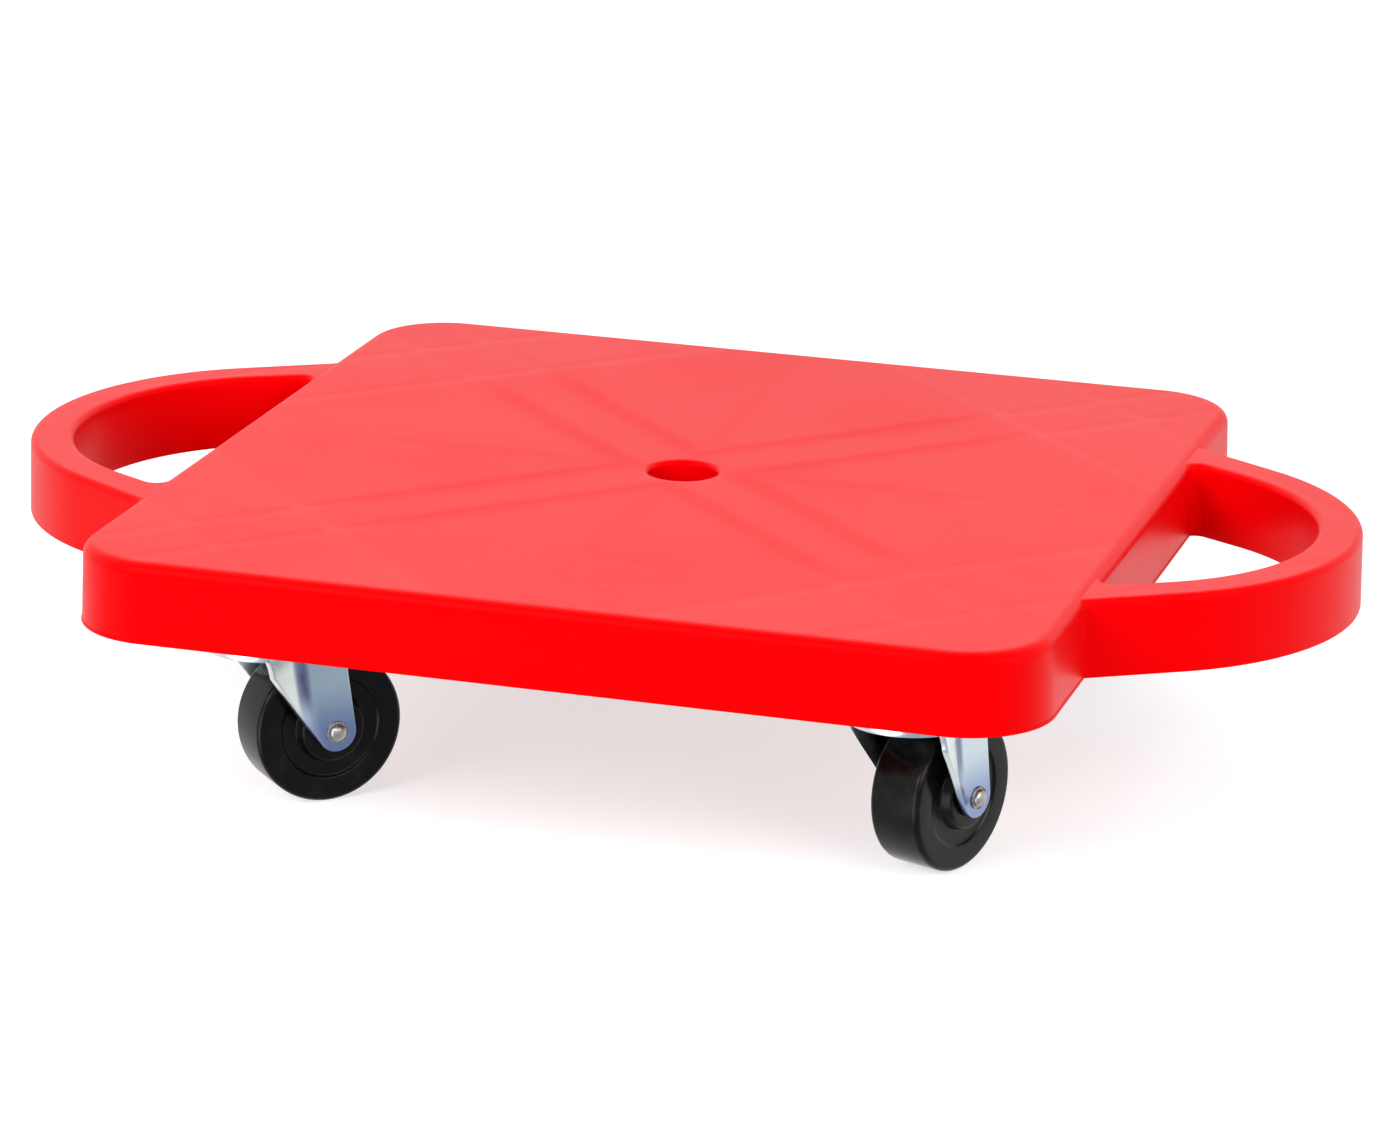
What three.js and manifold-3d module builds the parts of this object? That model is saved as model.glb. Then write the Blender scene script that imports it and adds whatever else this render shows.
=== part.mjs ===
// Scooter board: a moulded deck with two hand loops, carried by four swivel casters.
// Millimetres. +Z is up and +X points to the right hand loop.
// The origin is on the floor, under the middle of the deck.

import * as THREE from 'three';
import { mergeVertices } from 'three/addons/utils/BufferGeometryUtils.js';
import Module from 'manifold-3d';

// Deck moulding
const deckWidth = 300;
const deckDepth = 300;
const deckThickness = 24.8;
const deckCornerRadius = 27.5;
const deckTopEdgeRadius = 4;
const deckWall = 3.2;
const deckSkin = 3.6;
const deckDraftAngle = 2.1;
const lipHeight = 0.9;
const lipReach = 0.25;
const centreHoleRadius = 11;
const centreHoleEdgeRadius = 1.7;
const centreHoleWall = 3.2;

// Hand loops, moulded in one piece with the deck
const loopInnerRadius = 67.3;
const loopBarWidth = 13.9;
const loopCentreInset = 15.9;
const loopOuterArcAngle = 58.7;
const loopInnerArcAngle = 61.5;
const loopHeight = 24;
const loopEdgeRadius = 2.2;
const loopRootRadius = 4;
const loopRootInset = 1.6;
const loopOuterDraftAngle = 1.2;
const loopInnerDraftAngle = -1.2;
const loopWall = 3.2;
const loopSkin = 3.6;
const loopChannelSetback = 0.6;
const loopRibCount = 5;
const loopRibStepAngle = 24;

// Ribs and bosses under the deck
const ribThickness = 2.6;
const diagonalRibSpacing = 25;
const padInnerRibInset = 17;
const padOuterRibOutset = 22.5;
const middleRibSetback = 1.5;
const bossRadius = 4.6;
const bossBoreRadius = 2.4;
const bossBoreDepth = 16;

// Distance of each swivel axis from the deck's sides, and the way each caster trails at rest from +X
const casterSideInset = 49;
const casterEndInset = 50;
const frontLeftTrailAngle = 44.6;
const frontRightTrailAngle = 68.8;
const rearLeftTrailAngle = 62;
const rearRightTrailAngle = 74;

// Wheels
const wheelDiameter = 48;
const wheelWidth = 17.6;
const wheelShoulderRadius = 1.8;
const wheelHubLength = 22.8;
const wheelHubRadius = 10;
const wheelHubFlare = 1.2;
const wheelWebInset = 0.9;
const wheelGrooveRadius = 16.4;
const wheelGrooveWidth = 0.9;
const wheelGrooveDepth = 1.2;

// Forks, pressed from sheet
const sheetThickness = 1.8;
const casterTrail = 17;
const hubSideClearance = 0.7;
const wheelTopClearance = 3;
const crownRadius = 19.8;
const crownSkirtDepth = 6.3;
const crownBendRadius = 3.1;
const crownRearReach = 17.3;
const crownFlareAngle = 17;
const crownFlarePlace = 6.4;
const kneeFlareAngle = 22.5;
const kneeFlarePlace = 5.3;
const kneeFlareDrop = 6;
const toeFlareAngle = 32;
const toeFlarePlace = 12.2;
const flareBendRadius = 10;
const legEndRadius = 6.2;
const legKneeReach = 5.7;
const legKneeDrop = 5.5;
const legHeelLean = 2.6;
const legHeelDrop = 8;

// Swivel bearing
const raceSpace = 3.9;
const ballDiameter = 5;
const ballCount = 12;
const ballOverlap = 0.2;
const ballClearance = 0.3;
const kingpinRadius = 4;
const kingpinHeadRadius = 6.8;
const kingpinHeadHeight = 1.9;
const kingpinTopHeadRadius = 7.2;
const lowerRaceRadius = 9.6;
const lowerRaceThickness = 1.5;
const lowerRaceDish = 0.6;

// Axles
const axleRadius = 2.8;
const axleHeadRadius = 3.5;
const axleHeadHeight = 1.8;
const sleeveWall = 0.8;

// Mounting plates and their screws
const plateLength = 65;
const plateWidth = 47.6;
const plateThickness = 2;
const plateCornerRadius = 5;
const screwSpacingLong = 47.6;
const screwSpacingShort = 31.8;
const slotLength = 7.6;
const slotRadius = 2.6;
const screwRadius = 2;
const screwHeadRadius = 3.9;
const screwHeadHeight = 2.2;
const screwLength = 15;
const screwTipLength = 2.5;

// Clearances and the overrun of every cut
const seatGap = 0.3;
const runningGap = 0.3;
const overrun = 2;
const weldDistance = 0.0001;

// Facets
const cornerSteps = 5;
const edgeSteps = 2;
const loopSteps = 16;
const holeSteps = 20;
const boreSteps = 6;
const ballSteps = 6;
const wheelSteps = 20;
const roundSteps = 10;
const raceSteps = 16;
const grooveSteps = 8;

// Shares of a round head's radius and height that its low dome follows
const domeRadiusShares = [0, 0.5, 0.85, 1];
const domeHeightShares = [1, 0.93, 0.6, 0];

const trailAngles = {
  front_left: frontLeftTrailAngle,
  front_right: frontRightTrailAngle,
  rear_left: rearLeftTrailAngle,
  rear_right: rearRightTrailAngle,
};

const degree = Math.PI / 180;
const quarterTurn = Math.PI / 2;

// Heights above the floor, stacked up from the wheel
const axleHeight = wheelDiameter / 2;
const crownEdgeHeight = wheelDiameter + wheelTopClearance;
const crownTopHeight = crownEdgeHeight + crownSkirtDepth;
const crownUnderside = crownTopHeight - sheetThickness;
const plateUnderside = crownTopHeight + raceSpace;
const plateTopHeight = plateUnderside + plateThickness;
const deckBase = plateTopHeight + seatGap;
const deckTop = deckBase + deckThickness;
const ballHeight = plateUnderside - raceSpace / 2;
const ballRingRadius = (ballDiameter - ballOverlap) / (2 * Math.sin(Math.PI / ballCount));
const forkInnerHalf = wheelHubLength / 2 + hubSideClearance;
const forkOuterHalf = forkInnerHalf + sheetThickness;
const sleeveRadius = axleRadius + runningGap + sleeveWall;
const casterOffsetX = deckWidth / 2 - casterSideInset;
const casterOffsetY = deckDepth / 2 - casterEndInset;
const padDistance = Math.hypot(casterOffsetX, casterOffsetY);
const loopOuterRadius = loopInnerRadius + loopBarWidth;

const redPlastic = { color: 0xf20d10, roughness: 0.42, metalness: 0 };
const zincSteel = { color: 0xb9c4cf, roughness: 0.32, metalness: 0.9 };
const rivetSteel = { color: 0xa79d96, roughness: 0.4, metalness: 0.9 };
const bearingSteel = { color: 0x8f9499, roughness: 0.25, metalness: 1 };
const blackRubber = { color: 0x191918, roughness: 0.5, metalness: 0 };

const wasm = await Module();
wasm.setup();

// A closed three.js geometry as a solid, with its faces turned outwards.
function toSolid(geometry) {
  const bare = geometry.clone();
  bare.deleteAttribute('normal');
  bare.deleteAttribute('uv');
  const merged = mergeVertices(bare, weldDistance);
  const triangles = [];
  for (let i = 0; i < merged.index.count; i += 3) {
    const [a, b, c] = [merged.index.getX(i), merged.index.getX(i + 1), merged.index.getX(i + 2)];
    if (a !== b && b !== c && c !== a) {
      triangles.push([a, b, c]);
    }
  }
  const corner = (i) => new THREE.Vector3().fromBufferAttribute(merged.attributes.position, i);
  const signedVolume = ([a, b, c]) => corner(a).dot(corner(b).cross(corner(c)));
  const total = triangles.reduce((sum, triangle) => sum + signedVolume(triangle), 0);
  const outward = total < 0 ? triangles.map(([a, b, c]) => [a, c, b]) : triangles;
  return new wasm.Manifold(new wasm.Mesh({
    numProp: 3,
    vertProperties: Float32Array.from(merged.attributes.position.array),
    triVerts: Uint32Array.from(outward.flat()),
  }));
}

function toGeometry(solid) {
  const { vertProperties, triVerts } = solid.getMesh();
  const geometry = new THREE.BufferGeometry();
  geometry.setAttribute('position', new THREE.BufferAttribute(vertProperties, 3));
  geometry.setIndex(new THREE.BufferAttribute(triVerts, 1));
  geometry.computeVertexNormals();
  return geometry;
}

function join(solids) {
  return solids.reduce((whole, solid) => whole.add(solid));
}

// A stack of outlines with equal point counts, from the lowest to the highest, skinned and capped.
function loft(sections) {
  const count = sections[0].outline.length;
  const positions = sections.flatMap(({ outline, z }) => outline.flatMap((point) => [point.x, point.y, z]));
  const index = [];
  for (let ring = 0; ring + 1 < sections.length; ring += 1) {
    for (let i = 0; i < count; i += 1) {
      const here = ring * count + i;
      const next = ring * count + ((i + 1) % count);
      index.push(here, next, next + count);
      index.push(here, next + count, here + count);
    }
  }
  const lastRing = (sections.length - 1) * count;
  const capOf = ({ outline }) => wasm.triangulate([outline.map((point) => [point.x, point.y])]);
  capOf(sections[0]).forEach(([a, b, c]) => index.push(c, b, a));
  capOf(sections.at(-1)).forEach(([a, b, c]) => index.push(lastRing + a, lastRing + b, lastRing + c));
  const geometry = new THREE.BufferGeometry();
  geometry.setAttribute('position', new THREE.Float32BufferAttribute(positions, 3));
  geometry.setIndex(index);
  return toSolid(geometry);
}

// A profile of [radius, height] pairs turned about the Z axis.
function revolve(profile, steps) {
  const points = profile.map(([radius, height]) => new THREE.Vector2(radius, height));
  return toSolid(new THREE.LatheGeometry(points, steps).rotateX(quarterTurn));
}

function drum(radius, low, high, steps) {
  return revolve([[0, low], [radius, low], [radius, high], [0, high]], steps);
}

function tube(innerRadius, outerRadius, low, high, steps) {
  const outline = [[innerRadius, low], [outerRadius, low], [outerRadius, high], [innerRadius, high]];
  return revolve([...outline, outline[0]], steps);
}

// A straight bar of square section between two heights, turned about Z and centred on a point.
function bar(length, width, low, high, centreX, centreY, angle) {
  const box = new THREE.BoxGeometry(length, width, high - low);
  return toSolid(box.rotateZ(angle).translate(centreX, centreY, (low + high) / 2));
}

function arcPoints(centreX, centreY, radius, start, end, steps) {
  return Array.from({ length: steps + 1 }, (_, i) => {
    const angle = start + ((end - start) * i) / steps;
    return new THREE.Vector2(centreX + radius * Math.cos(angle), centreY + radius * Math.sin(angle));
  });
}

// A rounded rectangle, drawn in by an inset that its corners follow.
function roundedOutline(width, depth, radius, inset, steps) {
  const x = width / 2 - radius;
  const y = depth / 2 - radius;
  const corners = [[x, y], [-x, y], [-x, -y], [x, -y]];
  return corners.flatMap(([cornerX, cornerY], quarter) => {
    const start = quarter * quarterTurn;
    return arcPoints(cornerX, cornerY, radius - inset, start, start + quarterTurn, steps);
  });
}

// Inset and height of a rounded top edge, from the wall up to the flat.
function topEdge(radius, top) {
  return Array.from({ length: edgeSteps + 1 }, (_, i) => {
    const angle = (quarterTurn * i) / edgeSteps;
    return { inset: radius * (1 - Math.cos(angle)), z: top - radius * (1 - Math.sin(angle)) };
  });
}

function deckOutline(inset) {
  return roundedOutline(deckWidth, deckDepth, deckCornerRadius, inset, cornerSteps);
}

function deckBlock() {
  const taper = deckThickness * Math.tan(deckDraftAngle * degree);
  const lip = [
    { outline: deckOutline(0), z: deckBase },
    { outline: deckOutline(0), z: deckBase + lipHeight },
    { outline: deckOutline(lipReach), z: deckBase + lipHeight },
  ];
  const edge = topEdge(deckTopEdgeRadius, deckTop);
  const walls = edge.map(({ inset, z }) => ({ outline: deckOutline(taper + inset), z }));
  return loft([...lip, ...walls]);
}

// Outline of one hand loop's bar. Its centre is the centre of the loop's arcs.
// Straight legs leave the arcs at a tangent and end in round roots on the deck's side.
function loopOutline(outerInset, innerInset) {
  const rootX = loopCentreInset - loopRootInset - Math.max(outerInset, innerInset) - overrun;
  const legEnd = (radius, arc, side, inset) => {
    const slope = arc * degree;
    const centreX = loopCentreInset - loopRootInset + loopRootRadius;
    const reach = radius + side * loopRootRadius;
    const centreY = (reach - centreX * Math.cos(slope)) / Math.sin(slope);
    const towardsLeg = slope + (side > 0 ? Math.PI : 0);
    const root = arcPoints(centreX, centreY, loopRootRadius + inset, Math.PI, towardsLeg, edgeSteps);
    return [new THREE.Vector2(rootX, centreY), ...root];
  };
  const mirrored = (points) => points.map((point) => new THREE.Vector2(point.x, -point.y)).reverse();
  const outerEnd = legEnd(loopOuterRadius, loopOuterArcAngle, 1, outerInset);
  const innerEnd = legEnd(loopInnerRadius, loopInnerArcAngle, -1, innerInset);
  const outerArc = arcPoints(
    0, 0, loopOuterRadius - outerInset, loopOuterArcAngle * degree, -loopOuterArcAngle * degree, loopSteps,
  );
  const innerArc = arcPoints(
    0, 0, loopInnerRadius + innerInset, loopInnerArcAngle * degree, -loopInnerArcAngle * degree, loopSteps,
  );
  const outer = [...outerEnd, ...outerArc, ...mirrored(outerEnd)];
  const inner = [...innerEnd, ...innerArc, ...mirrored(innerEnd)];
  return [...outer, ...inner.reverse()].reverse();
}

function loopBlock() {
  const rise = loopHeight - loopEdgeRadius;
  const outerTaper = rise * Math.tan(loopOuterDraftAngle * degree);
  const innerTaper = rise * Math.tan(loopInnerDraftAngle * degree);
  const edge = topEdge(loopEdgeRadius, deckBase + loopHeight);
  return loft([
    { outline: loopOutline(0, 0), z: deckBase },
    ...edge.map(({ inset, z }) => ({ outline: loopOutline(outerTaper + inset, innerTaper + inset), z })),
  ]);
}

// The open channel under a hand loop, crossed by short ribs.
function loopChannel() {
  const ceiling = deckBase + loopHeight - loopSkin;
  const hollow = loft([
    { outline: loopOutline(loopWall, loopWall), z: deckBase - overrun },
    { outline: loopOutline(loopWall, loopWall), z: ceiling },
  ]);
  const start = loopCentreInset + loopChannelSetback;
  const reach = loopOuterRadius - start;
  const beyondSide = bar(
    reach, 2 * loopOuterRadius, deckBase - 2 * overrun, deckTop, start + reach / 2, 0, 0,
  );
  const middleRadius = (loopOuterRadius + loopInnerRadius) / 2;
  const ribs = Array.from({ length: loopRibCount }, (_, i) => {
    const turn = (i - (loopRibCount - 1) / 2) * loopRibStepAngle * degree;
    const x = middleRadius * Math.cos(turn);
    const y = middleRadius * Math.sin(turn);
    return bar(loopBarWidth, ribThickness, deckBase + middleRibSetback, deckTop, x, y, turn);
  });
  return hollow.intersect(beyondSide).subtract(join(ribs));
}

function onBothSides(solid) {
  const centreX = deckWidth / 2 - loopCentreInset;
  const right = solid.translate([centreX, 0, 0]);
  return right.add(right.rotate([0, 0, 180]));
}

// Ribs, bosses and the centre tube, from the underside of the skin to the bottom of the deck.
function deckRibs() {
  const high = deckTop;
  const reach = Math.hypot(deckWidth, deckDepth) / 2;
  const diagonalTurn = Math.atan2(casterOffsetY, casterOffsetX);
  const diagonals = [1, -1].flatMap((side) => [diagonalTurn, -diagonalTurn].map((turn) => {
    const shift = (side * diagonalRibSpacing) / 2;
    return bar(2 * reach, ribThickness, deckBase, high, -shift * Math.sin(turn), shift * Math.cos(turn), turn);
  }));
  const padRibs = Object.keys(trailAngles).flatMap((name) => {
    const { plateTurn } = casterPlace(name);
    return [padDistance - padInnerRibInset, padDistance + padOuterRibOutset].map((distance) => {
      const x = distance * Math.cos(plateTurn);
      const y = distance * Math.sin(plateTurn);
      return bar(ribThickness, 2 * reach, deckBase, high, x, y, plateTurn);
    });
  });
  const middles = [0, quarterTurn].map((turn) => bar(
    2 * reach, ribThickness, deckBase + middleRibSetback, high, 0, 0, turn,
  ));
  const bosses = screwPlaces().map(([x, y]) => drum(bossRadius, deckBase, high, boreSteps).translate([x, y, 0]));
  const centreTube = drum(centreHoleRadius + centreHoleWall, deckBase, high, holeSteps);
  return join([...diagonals, ...padRibs, ...middles, ...bosses, centreTube]);
}

// The middle of every screw, on the deck.
function screwPlaces() {
  return Object.keys(trailAngles).flatMap((name) => {
    const { x, y, plateTurn } = casterPlace(name);
    return platePattern().map(([along, across]) => {
      const offset = new THREE.Vector2(along, across).rotateAround(new THREE.Vector2(), plateTurn);
      return [x + offset.x, y + offset.y];
    });
  });
}

function platePattern() {
  return [[1, 1], [-1, 1], [-1, -1], [1, -1]].map(([along, across]) => [
    (along * screwSpacingLong) / 2,
    (across * screwSpacingShort) / 2,
  ]);
}

// Where a caster stands. The long side of its plate lies along the deck's diagonal.
function casterPlace(name) {
  const x = name.endsWith('left') ? -casterOffsetX : casterOffsetX;
  const y = name.startsWith('front') ? -casterOffsetY : casterOffsetY;
  return { x, y, plateTurn: Math.atan2(y, x) };
}

function centreHole() {
  const edge = Array.from({ length: edgeSteps + 1 }, (_, i) => {
    const angle = (quarterTurn * i) / edgeSteps;
    const radius = centreHoleRadius + centreHoleEdgeRadius * (1 - Math.cos(angle));
    return [radius, deckTop - centreHoleEdgeRadius * (1 - Math.sin(angle))];
  });
  const rim = centreHoleRadius + centreHoleEdgeRadius;
  return revolve([
    [0, deckBase - overrun],
    [centreHoleRadius, deckBase - overrun],
    ...edge,
    [rim, deckTop + overrun],
    [0, deckTop + overrun],
  ], holeSteps);
}

function deckSolid() {
  const ceiling = deckTop - deckSkin;
  const depth = ceiling - deckBase;
  const hollow = loft([
    { outline: deckOutline(deckWall), z: deckBase - overrun },
    { outline: deckOutline(deckWall), z: deckBase },
    { outline: deckOutline(deckWall + depth * Math.tan(deckDraftAngle * degree)), z: ceiling },
  ]);
  const bores = screwPlaces().map(([x, y]) => (
    drum(bossBoreRadius, deckBase - overrun, deckBase + bossBoreDepth, boreSteps).translate([x, y, 0])
  ));
  return deckBlock()
    .add(onBothSides(loopBlock()))
    .subtract(hollow.subtract(deckRibs()))
    .subtract(onBothSides(loopChannel()))
    .subtract(join(bores))
    .subtract(centreHole());
}

// Plan outline of a fork, drawn in by an inset. X runs the way the caster trails.
// Behind the bend the sides are parallel; ahead of it they flare out to the round crown.
function forkOutline(inset, rearReach, flare, flarePlace) {
  const flareDistance = flarePlace * Math.sin(flare) + forkOuterHalf * Math.cos(flare);
  const bendY = forkOuterHalf + flareBendRadius;
  const bendX = (flareDistance + flareBendRadius - bendY * Math.cos(flare)) / Math.sin(flare);
  const bend = arcPoints(
    bendX, bendY, flareBendRadius + inset, -quarterTurn, -quarterTurn - flare, edgeSteps,
  );
  const radius = crownRadius - inset;
  const distance = flareDistance - inset;
  const meeting = quarterTurn - flare + Math.acos(distance / radius);
  const front = arcPoints(0, 0, radius, meeting, 2 * Math.PI - meeting, 2 * cornerSteps);
  const side = [new THREE.Vector2(rearReach, forkOuterHalf - inset), ...bend];
  const otherSide = side.map((point) => new THREE.Vector2(point.x, -point.y)).reverse();
  return [...side, ...front, ...otherSide];
}

// Below the crown the flare opens quickly to the knee, then its bend runs back to the toe of each leg.
function forkBlock(inset, top, edgeRadius, rearReach) {
  const outline = (depth, angle, place) => forkOutline(inset + depth, rearReach, angle * degree, place);
  const crown = (depth) => outline(depth, crownFlareAngle, crownFlarePlace);
  return loft([
    { outline: outline(0, toeFlareAngle, toeFlarePlace), z: axleHeight - legEndRadius - overrun },
    { outline: outline(0, kneeFlareAngle, kneeFlarePlace), z: crownEdgeHeight - kneeFlareDrop },
    { outline: crown(0), z: crownEdgeHeight },
    ...topEdge(edgeRadius, top).map((edge) => ({ outline: crown(edge.inset), z: edge.z })),
  ]);
}

// Where a line from a point touches a circle, on the chosen side of it.
function tangentAngle(centreX, centreY, radius, fromX, fromY, side) {
  const distance = Math.hypot(fromX - centreX, fromY - centreY);
  const bearing = Math.atan2(fromY - centreY, fromX - centreX);
  return bearing + side * Math.acos(radius / distance);
}

// Side view of a fork: the crown's skirt, the leading edge, the round end at the axle and the heel.
function forkSideView() {
  const top = crownTopHeight + overrun;
  const front = -crownRadius - overrun;
  const flare = crownFlareAngle * degree;
  const flareDistance = crownFlarePlace * Math.sin(flare) + forkOuterHalf * Math.cos(flare);
  const skirtEnd = crownRadius * Math.cos(quarterTurn - flare + Math.acos(flareDistance / crownRadius));
  const kneeX = -legKneeReach;
  const kneeHeight = crownEdgeHeight - legKneeDrop;
  const heelX = casterTrail + legEndRadius - legHeelLean;
  const heelHeight = crownEdgeHeight - legHeelDrop;
  const toe = tangentAngle(casterTrail, axleHeight, legEndRadius, kneeX, kneeHeight, 1);
  const heel = tangentAngle(casterTrail, axleHeight, legEndRadius, heelX, heelHeight, -1);
  const shape = new THREE.Shape();
  shape.moveTo(front, top);
  shape.lineTo(front, crownEdgeHeight);
  shape.lineTo(skirtEnd, crownEdgeHeight);
  shape.quadraticCurveTo((skirtEnd + kneeX) / 2, crownEdgeHeight, kneeX, kneeHeight);
  shape.absarc(casterTrail, axleHeight, legEndRadius, toe, heel, false);
  shape.lineTo(heelX, heelHeight);
  shape.quadraticCurveTo(heelX, crownEdgeHeight, crownRearReach, crownEdgeHeight);
  shape.lineTo(crownRearReach, top);
  const depth = 2 * (crownRadius + overrun);
  const slab = new THREE.ExtrudeGeometry(shape, { depth, bevelEnabled: false, curveSegments: 2 * edgeSteps + 2 });
  return toSolid(slab.rotateX(quarterTurn).translate(0, depth / 2, 0));
}

// The groove that one side of the ball row runs in.
function ballGroove() {
  const radius = ballDiameter / 2 + ballClearance;
  const section = arcPoints(ballRingRadius, ballHeight, radius, 0, 2 * Math.PI, grooveSteps);
  return revolve(section.map((point) => [point.x, point.y]), raceSteps);
}

function forkSolid() {
  const rear = casterTrail + legEndRadius + overrun;
  const outer = forkBlock(0, crownTopHeight, crownBendRadius, rear);
  const innerRadius = crownBendRadius - sheetThickness;
  const inner = forkBlock(sheetThickness, crownUnderside, innerRadius, rear + overrun);
  const axleHole = drum(axleRadius + runningGap, -crownRadius, crownRadius, roundSteps)
    .rotate([90, 0, 0])
    .translate([casterTrail, 0, axleHeight]);
  const kingpinHole = drum(kingpinRadius + runningGap, crownEdgeHeight, plateUnderside, roundSteps);
  return outer
    .subtract(inner)
    .intersect(forkSideView())
    .subtract(axleHole)
    .subtract(kingpinHole)
    .subtract(ballGroove());
}

function plateSolid() {
  const outline = new THREE.Shape(
    roundedOutline(plateLength, plateWidth, plateCornerRadius, 0, edgeSteps),
  );
  const straight = slotLength / 2 - slotRadius;
  platePattern().forEach(([along, across]) => {
    const ends = [
      ...arcPoints(along + straight, across, slotRadius, quarterTurn, -quarterTurn, edgeSteps + 1),
      ...arcPoints(along - straight, across, slotRadius, -quarterTurn, -3 * quarterTurn, edgeSteps + 1),
    ];
    outline.holes.push(new THREE.Path(ends));
  });
  outline.holes.push(new THREE.Path(
    arcPoints(0, 0, kingpinRadius + runningGap, 2 * Math.PI, 0, roundSteps).slice(0, -1),
  ));
  const slab = new THREE.ExtrudeGeometry(outline, { depth: plateThickness, bevelEnabled: false });
  return toSolid(slab.translate(0, 0, plateUnderside)).subtract(ballGroove());
}

// Low dome of a round head, as [radius, height] pairs from its rim to the axis.
function domeProfile(radius, base, height) {
  return domeRadiusShares
    .map((share, i) => [share * radius, base + domeHeightShares[i] * height])
    .reverse();
}

function kingpinSolid() {
  const lowerSeat = crownUnderside - 2 * runningGap - lowerRaceThickness;
  const upperSeat = plateTopHeight + seatGap;
  return revolve([
    ...domeProfile(kingpinHeadRadius, lowerSeat, -kingpinHeadHeight).reverse(),
    [kingpinRadius, lowerSeat],
    [kingpinRadius, upperSeat],
    ...domeProfile(kingpinTopHeadRadius, upperSeat, kingpinHeadHeight),
  ], roundSteps);
}

function lowerRaceSolid() {
  const high = crownUnderside - runningGap;
  const low = high - lowerRaceThickness;
  const bore = kingpinRadius + runningGap;
  const step = (bore + lowerRaceRadius) / 2;
  const profile = [
    [bore, low],
    [lowerRaceRadius, low + lowerRaceDish],
    [lowerRaceRadius, high],
    [step + lowerRaceDish, high],
    [step, high - lowerRaceDish],
    [bore, high - lowerRaceDish],
  ];
  return revolve([...profile, profile[0]], roundSteps);
}

// A full row of balls round the kingpin, each touching the next.
function ballRowSolid() {
  const balls = Array.from({ length: ballCount }, (_, i) => {
    const turn = (2 * Math.PI * i) / ballCount;
    const ball = new THREE.SphereGeometry(ballDiameter / 2, ballSteps, ballSteps - 2)
      .rotateX(quarterTurn)
      .rotateZ(turn + quarterTurn);
    return toSolid(ball.translate(
      ballRingRadius * Math.cos(turn), ballRingRadius * Math.sin(turn), ballHeight,
    ));
  });
  return join(balls);
}

function axleSolid() {
  const seat = forkOuterHalf + seatGap;
  const head = domeProfile(axleHeadRadius, seat, axleHeadHeight);
  const farHead = head.map(([radius, height]) => [radius, -height]).reverse();
  return revolve([
    ...farHead,
    [axleRadius, -seat],
    [axleRadius, seat],
    ...head,
  ], roundSteps);
}

function sleeveSolid() {
  const half = forkInnerHalf - seatGap;
  return tube(axleRadius + runningGap, sleeveRadius, -half, half, roundSteps);
}

function wheelSolid() {
  const radius = wheelDiameter / 2;
  const face = wheelWidth / 2;
  const web = face - wheelWebInset;
  const hubEnd = wheelHubLength / 2;
  const shoulder = Array.from({ length: edgeSteps + 1 }, (_, i) => {
    const angle = (quarterTurn * i) / edgeSteps;
    return [
      radius - wheelShoulderRadius * (1 - Math.sin(angle)),
      face - wheelShoulderRadius * (1 - Math.cos(angle)),
    ];
  });
  const half = [
    [sleeveRadius + runningGap, hubEnd],
    [wheelHubRadius, hubEnd],
    [wheelHubRadius + wheelHubFlare, web],
    [wheelGrooveRadius - wheelGrooveWidth, web],
    [wheelGrooveRadius - wheelGrooveWidth / 2, face - wheelGrooveDepth],
    [wheelGrooveRadius, face],
    ...shoulder,
  ];
  const otherHalf = half.map(([across, along]) => [across, -along]).reverse();
  return revolve([...half, ...otherHalf, half[0]], wheelSteps);
}

function screwSolid() {
  const seat = plateUnderside - seatGap;
  const tip = plateUnderside + screwLength;
  return revolve([
    ...domeProfile(screwHeadRadius, seat, -screwHeadHeight).reverse(),
    [screwRadius, seat],
    [screwRadius, tip - screwTipLength],
    [0, tip],
  ], boreSteps);
}

function mesh(name, solid, finish) {
  const piece = new THREE.Mesh(toGeometry(solid), new THREE.MeshStandardMaterial(finish));
  piece.name = name;
  return piece;
}

const shared = {
  fork: forkSolid(),
  plate: plateSolid(),
  kingpin: kingpinSolid(),
  lowerRace: lowerRaceSolid(),
  ballRow: ballRowSolid(),
  axle: axleSolid(),
  sleeve: sleeveSolid(),
  wheel: wheelSolid(),
  screw: screwSolid(),
};

// The pieces of one caster that stay with the deck.
function fixedPieces(name) {
  const { x, y, plateTurn } = casterPlace(name);
  const group = new THREE.Group();
  group.position.set(x, y, 0);
  group.rotation.z = plateTurn;
  group.add(mesh(`${name}_mounting_plate`, shared.plate, zincSteel));
  group.add(mesh(`${name}_kingpin`, shared.kingpin, zincSteel));
  group.add(mesh(`${name}_lower_race`, shared.lowerRace, bearingSteel));
  group.add(mesh(`${name}_ball_row`, shared.ballRow, bearingSteel));
  platePattern().forEach(([along, across], i) => {
    const screw = mesh(`${name}_screw_${i + 1}`, shared.screw, zincSteel);
    screw.position.set(along, across, 0);
    group.add(screw);
  });
  return group;
}

// The pieces of one caster that swivel, with the wheel on its axle.
function swivelPieces(name) {
  const { x, y } = casterPlace(name);
  const group = new THREE.Group();
  group.position.set(x, y, 0);
  group.rotation.z = trailAngles[name] * degree;
  group.add(mesh(`${name}_fork`, shared.fork, zincSteel));
  const axleLine = new THREE.Group();
  axleLine.position.set(casterTrail, 0, axleHeight);
  axleLine.rotation.x = quarterTurn;
  axleLine.add(mesh(`${name}_axle`, shared.axle, rivetSteel));
  axleLine.add(mesh(`${name}_axle_sleeve`, shared.sleeve, bearingSteel));
  const wheel = mesh(`${name}_wheel`, shared.wheel, blackRubber);
  axleLine.add(wheel);
  group.add(axleLine);
  return group;
}

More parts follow.
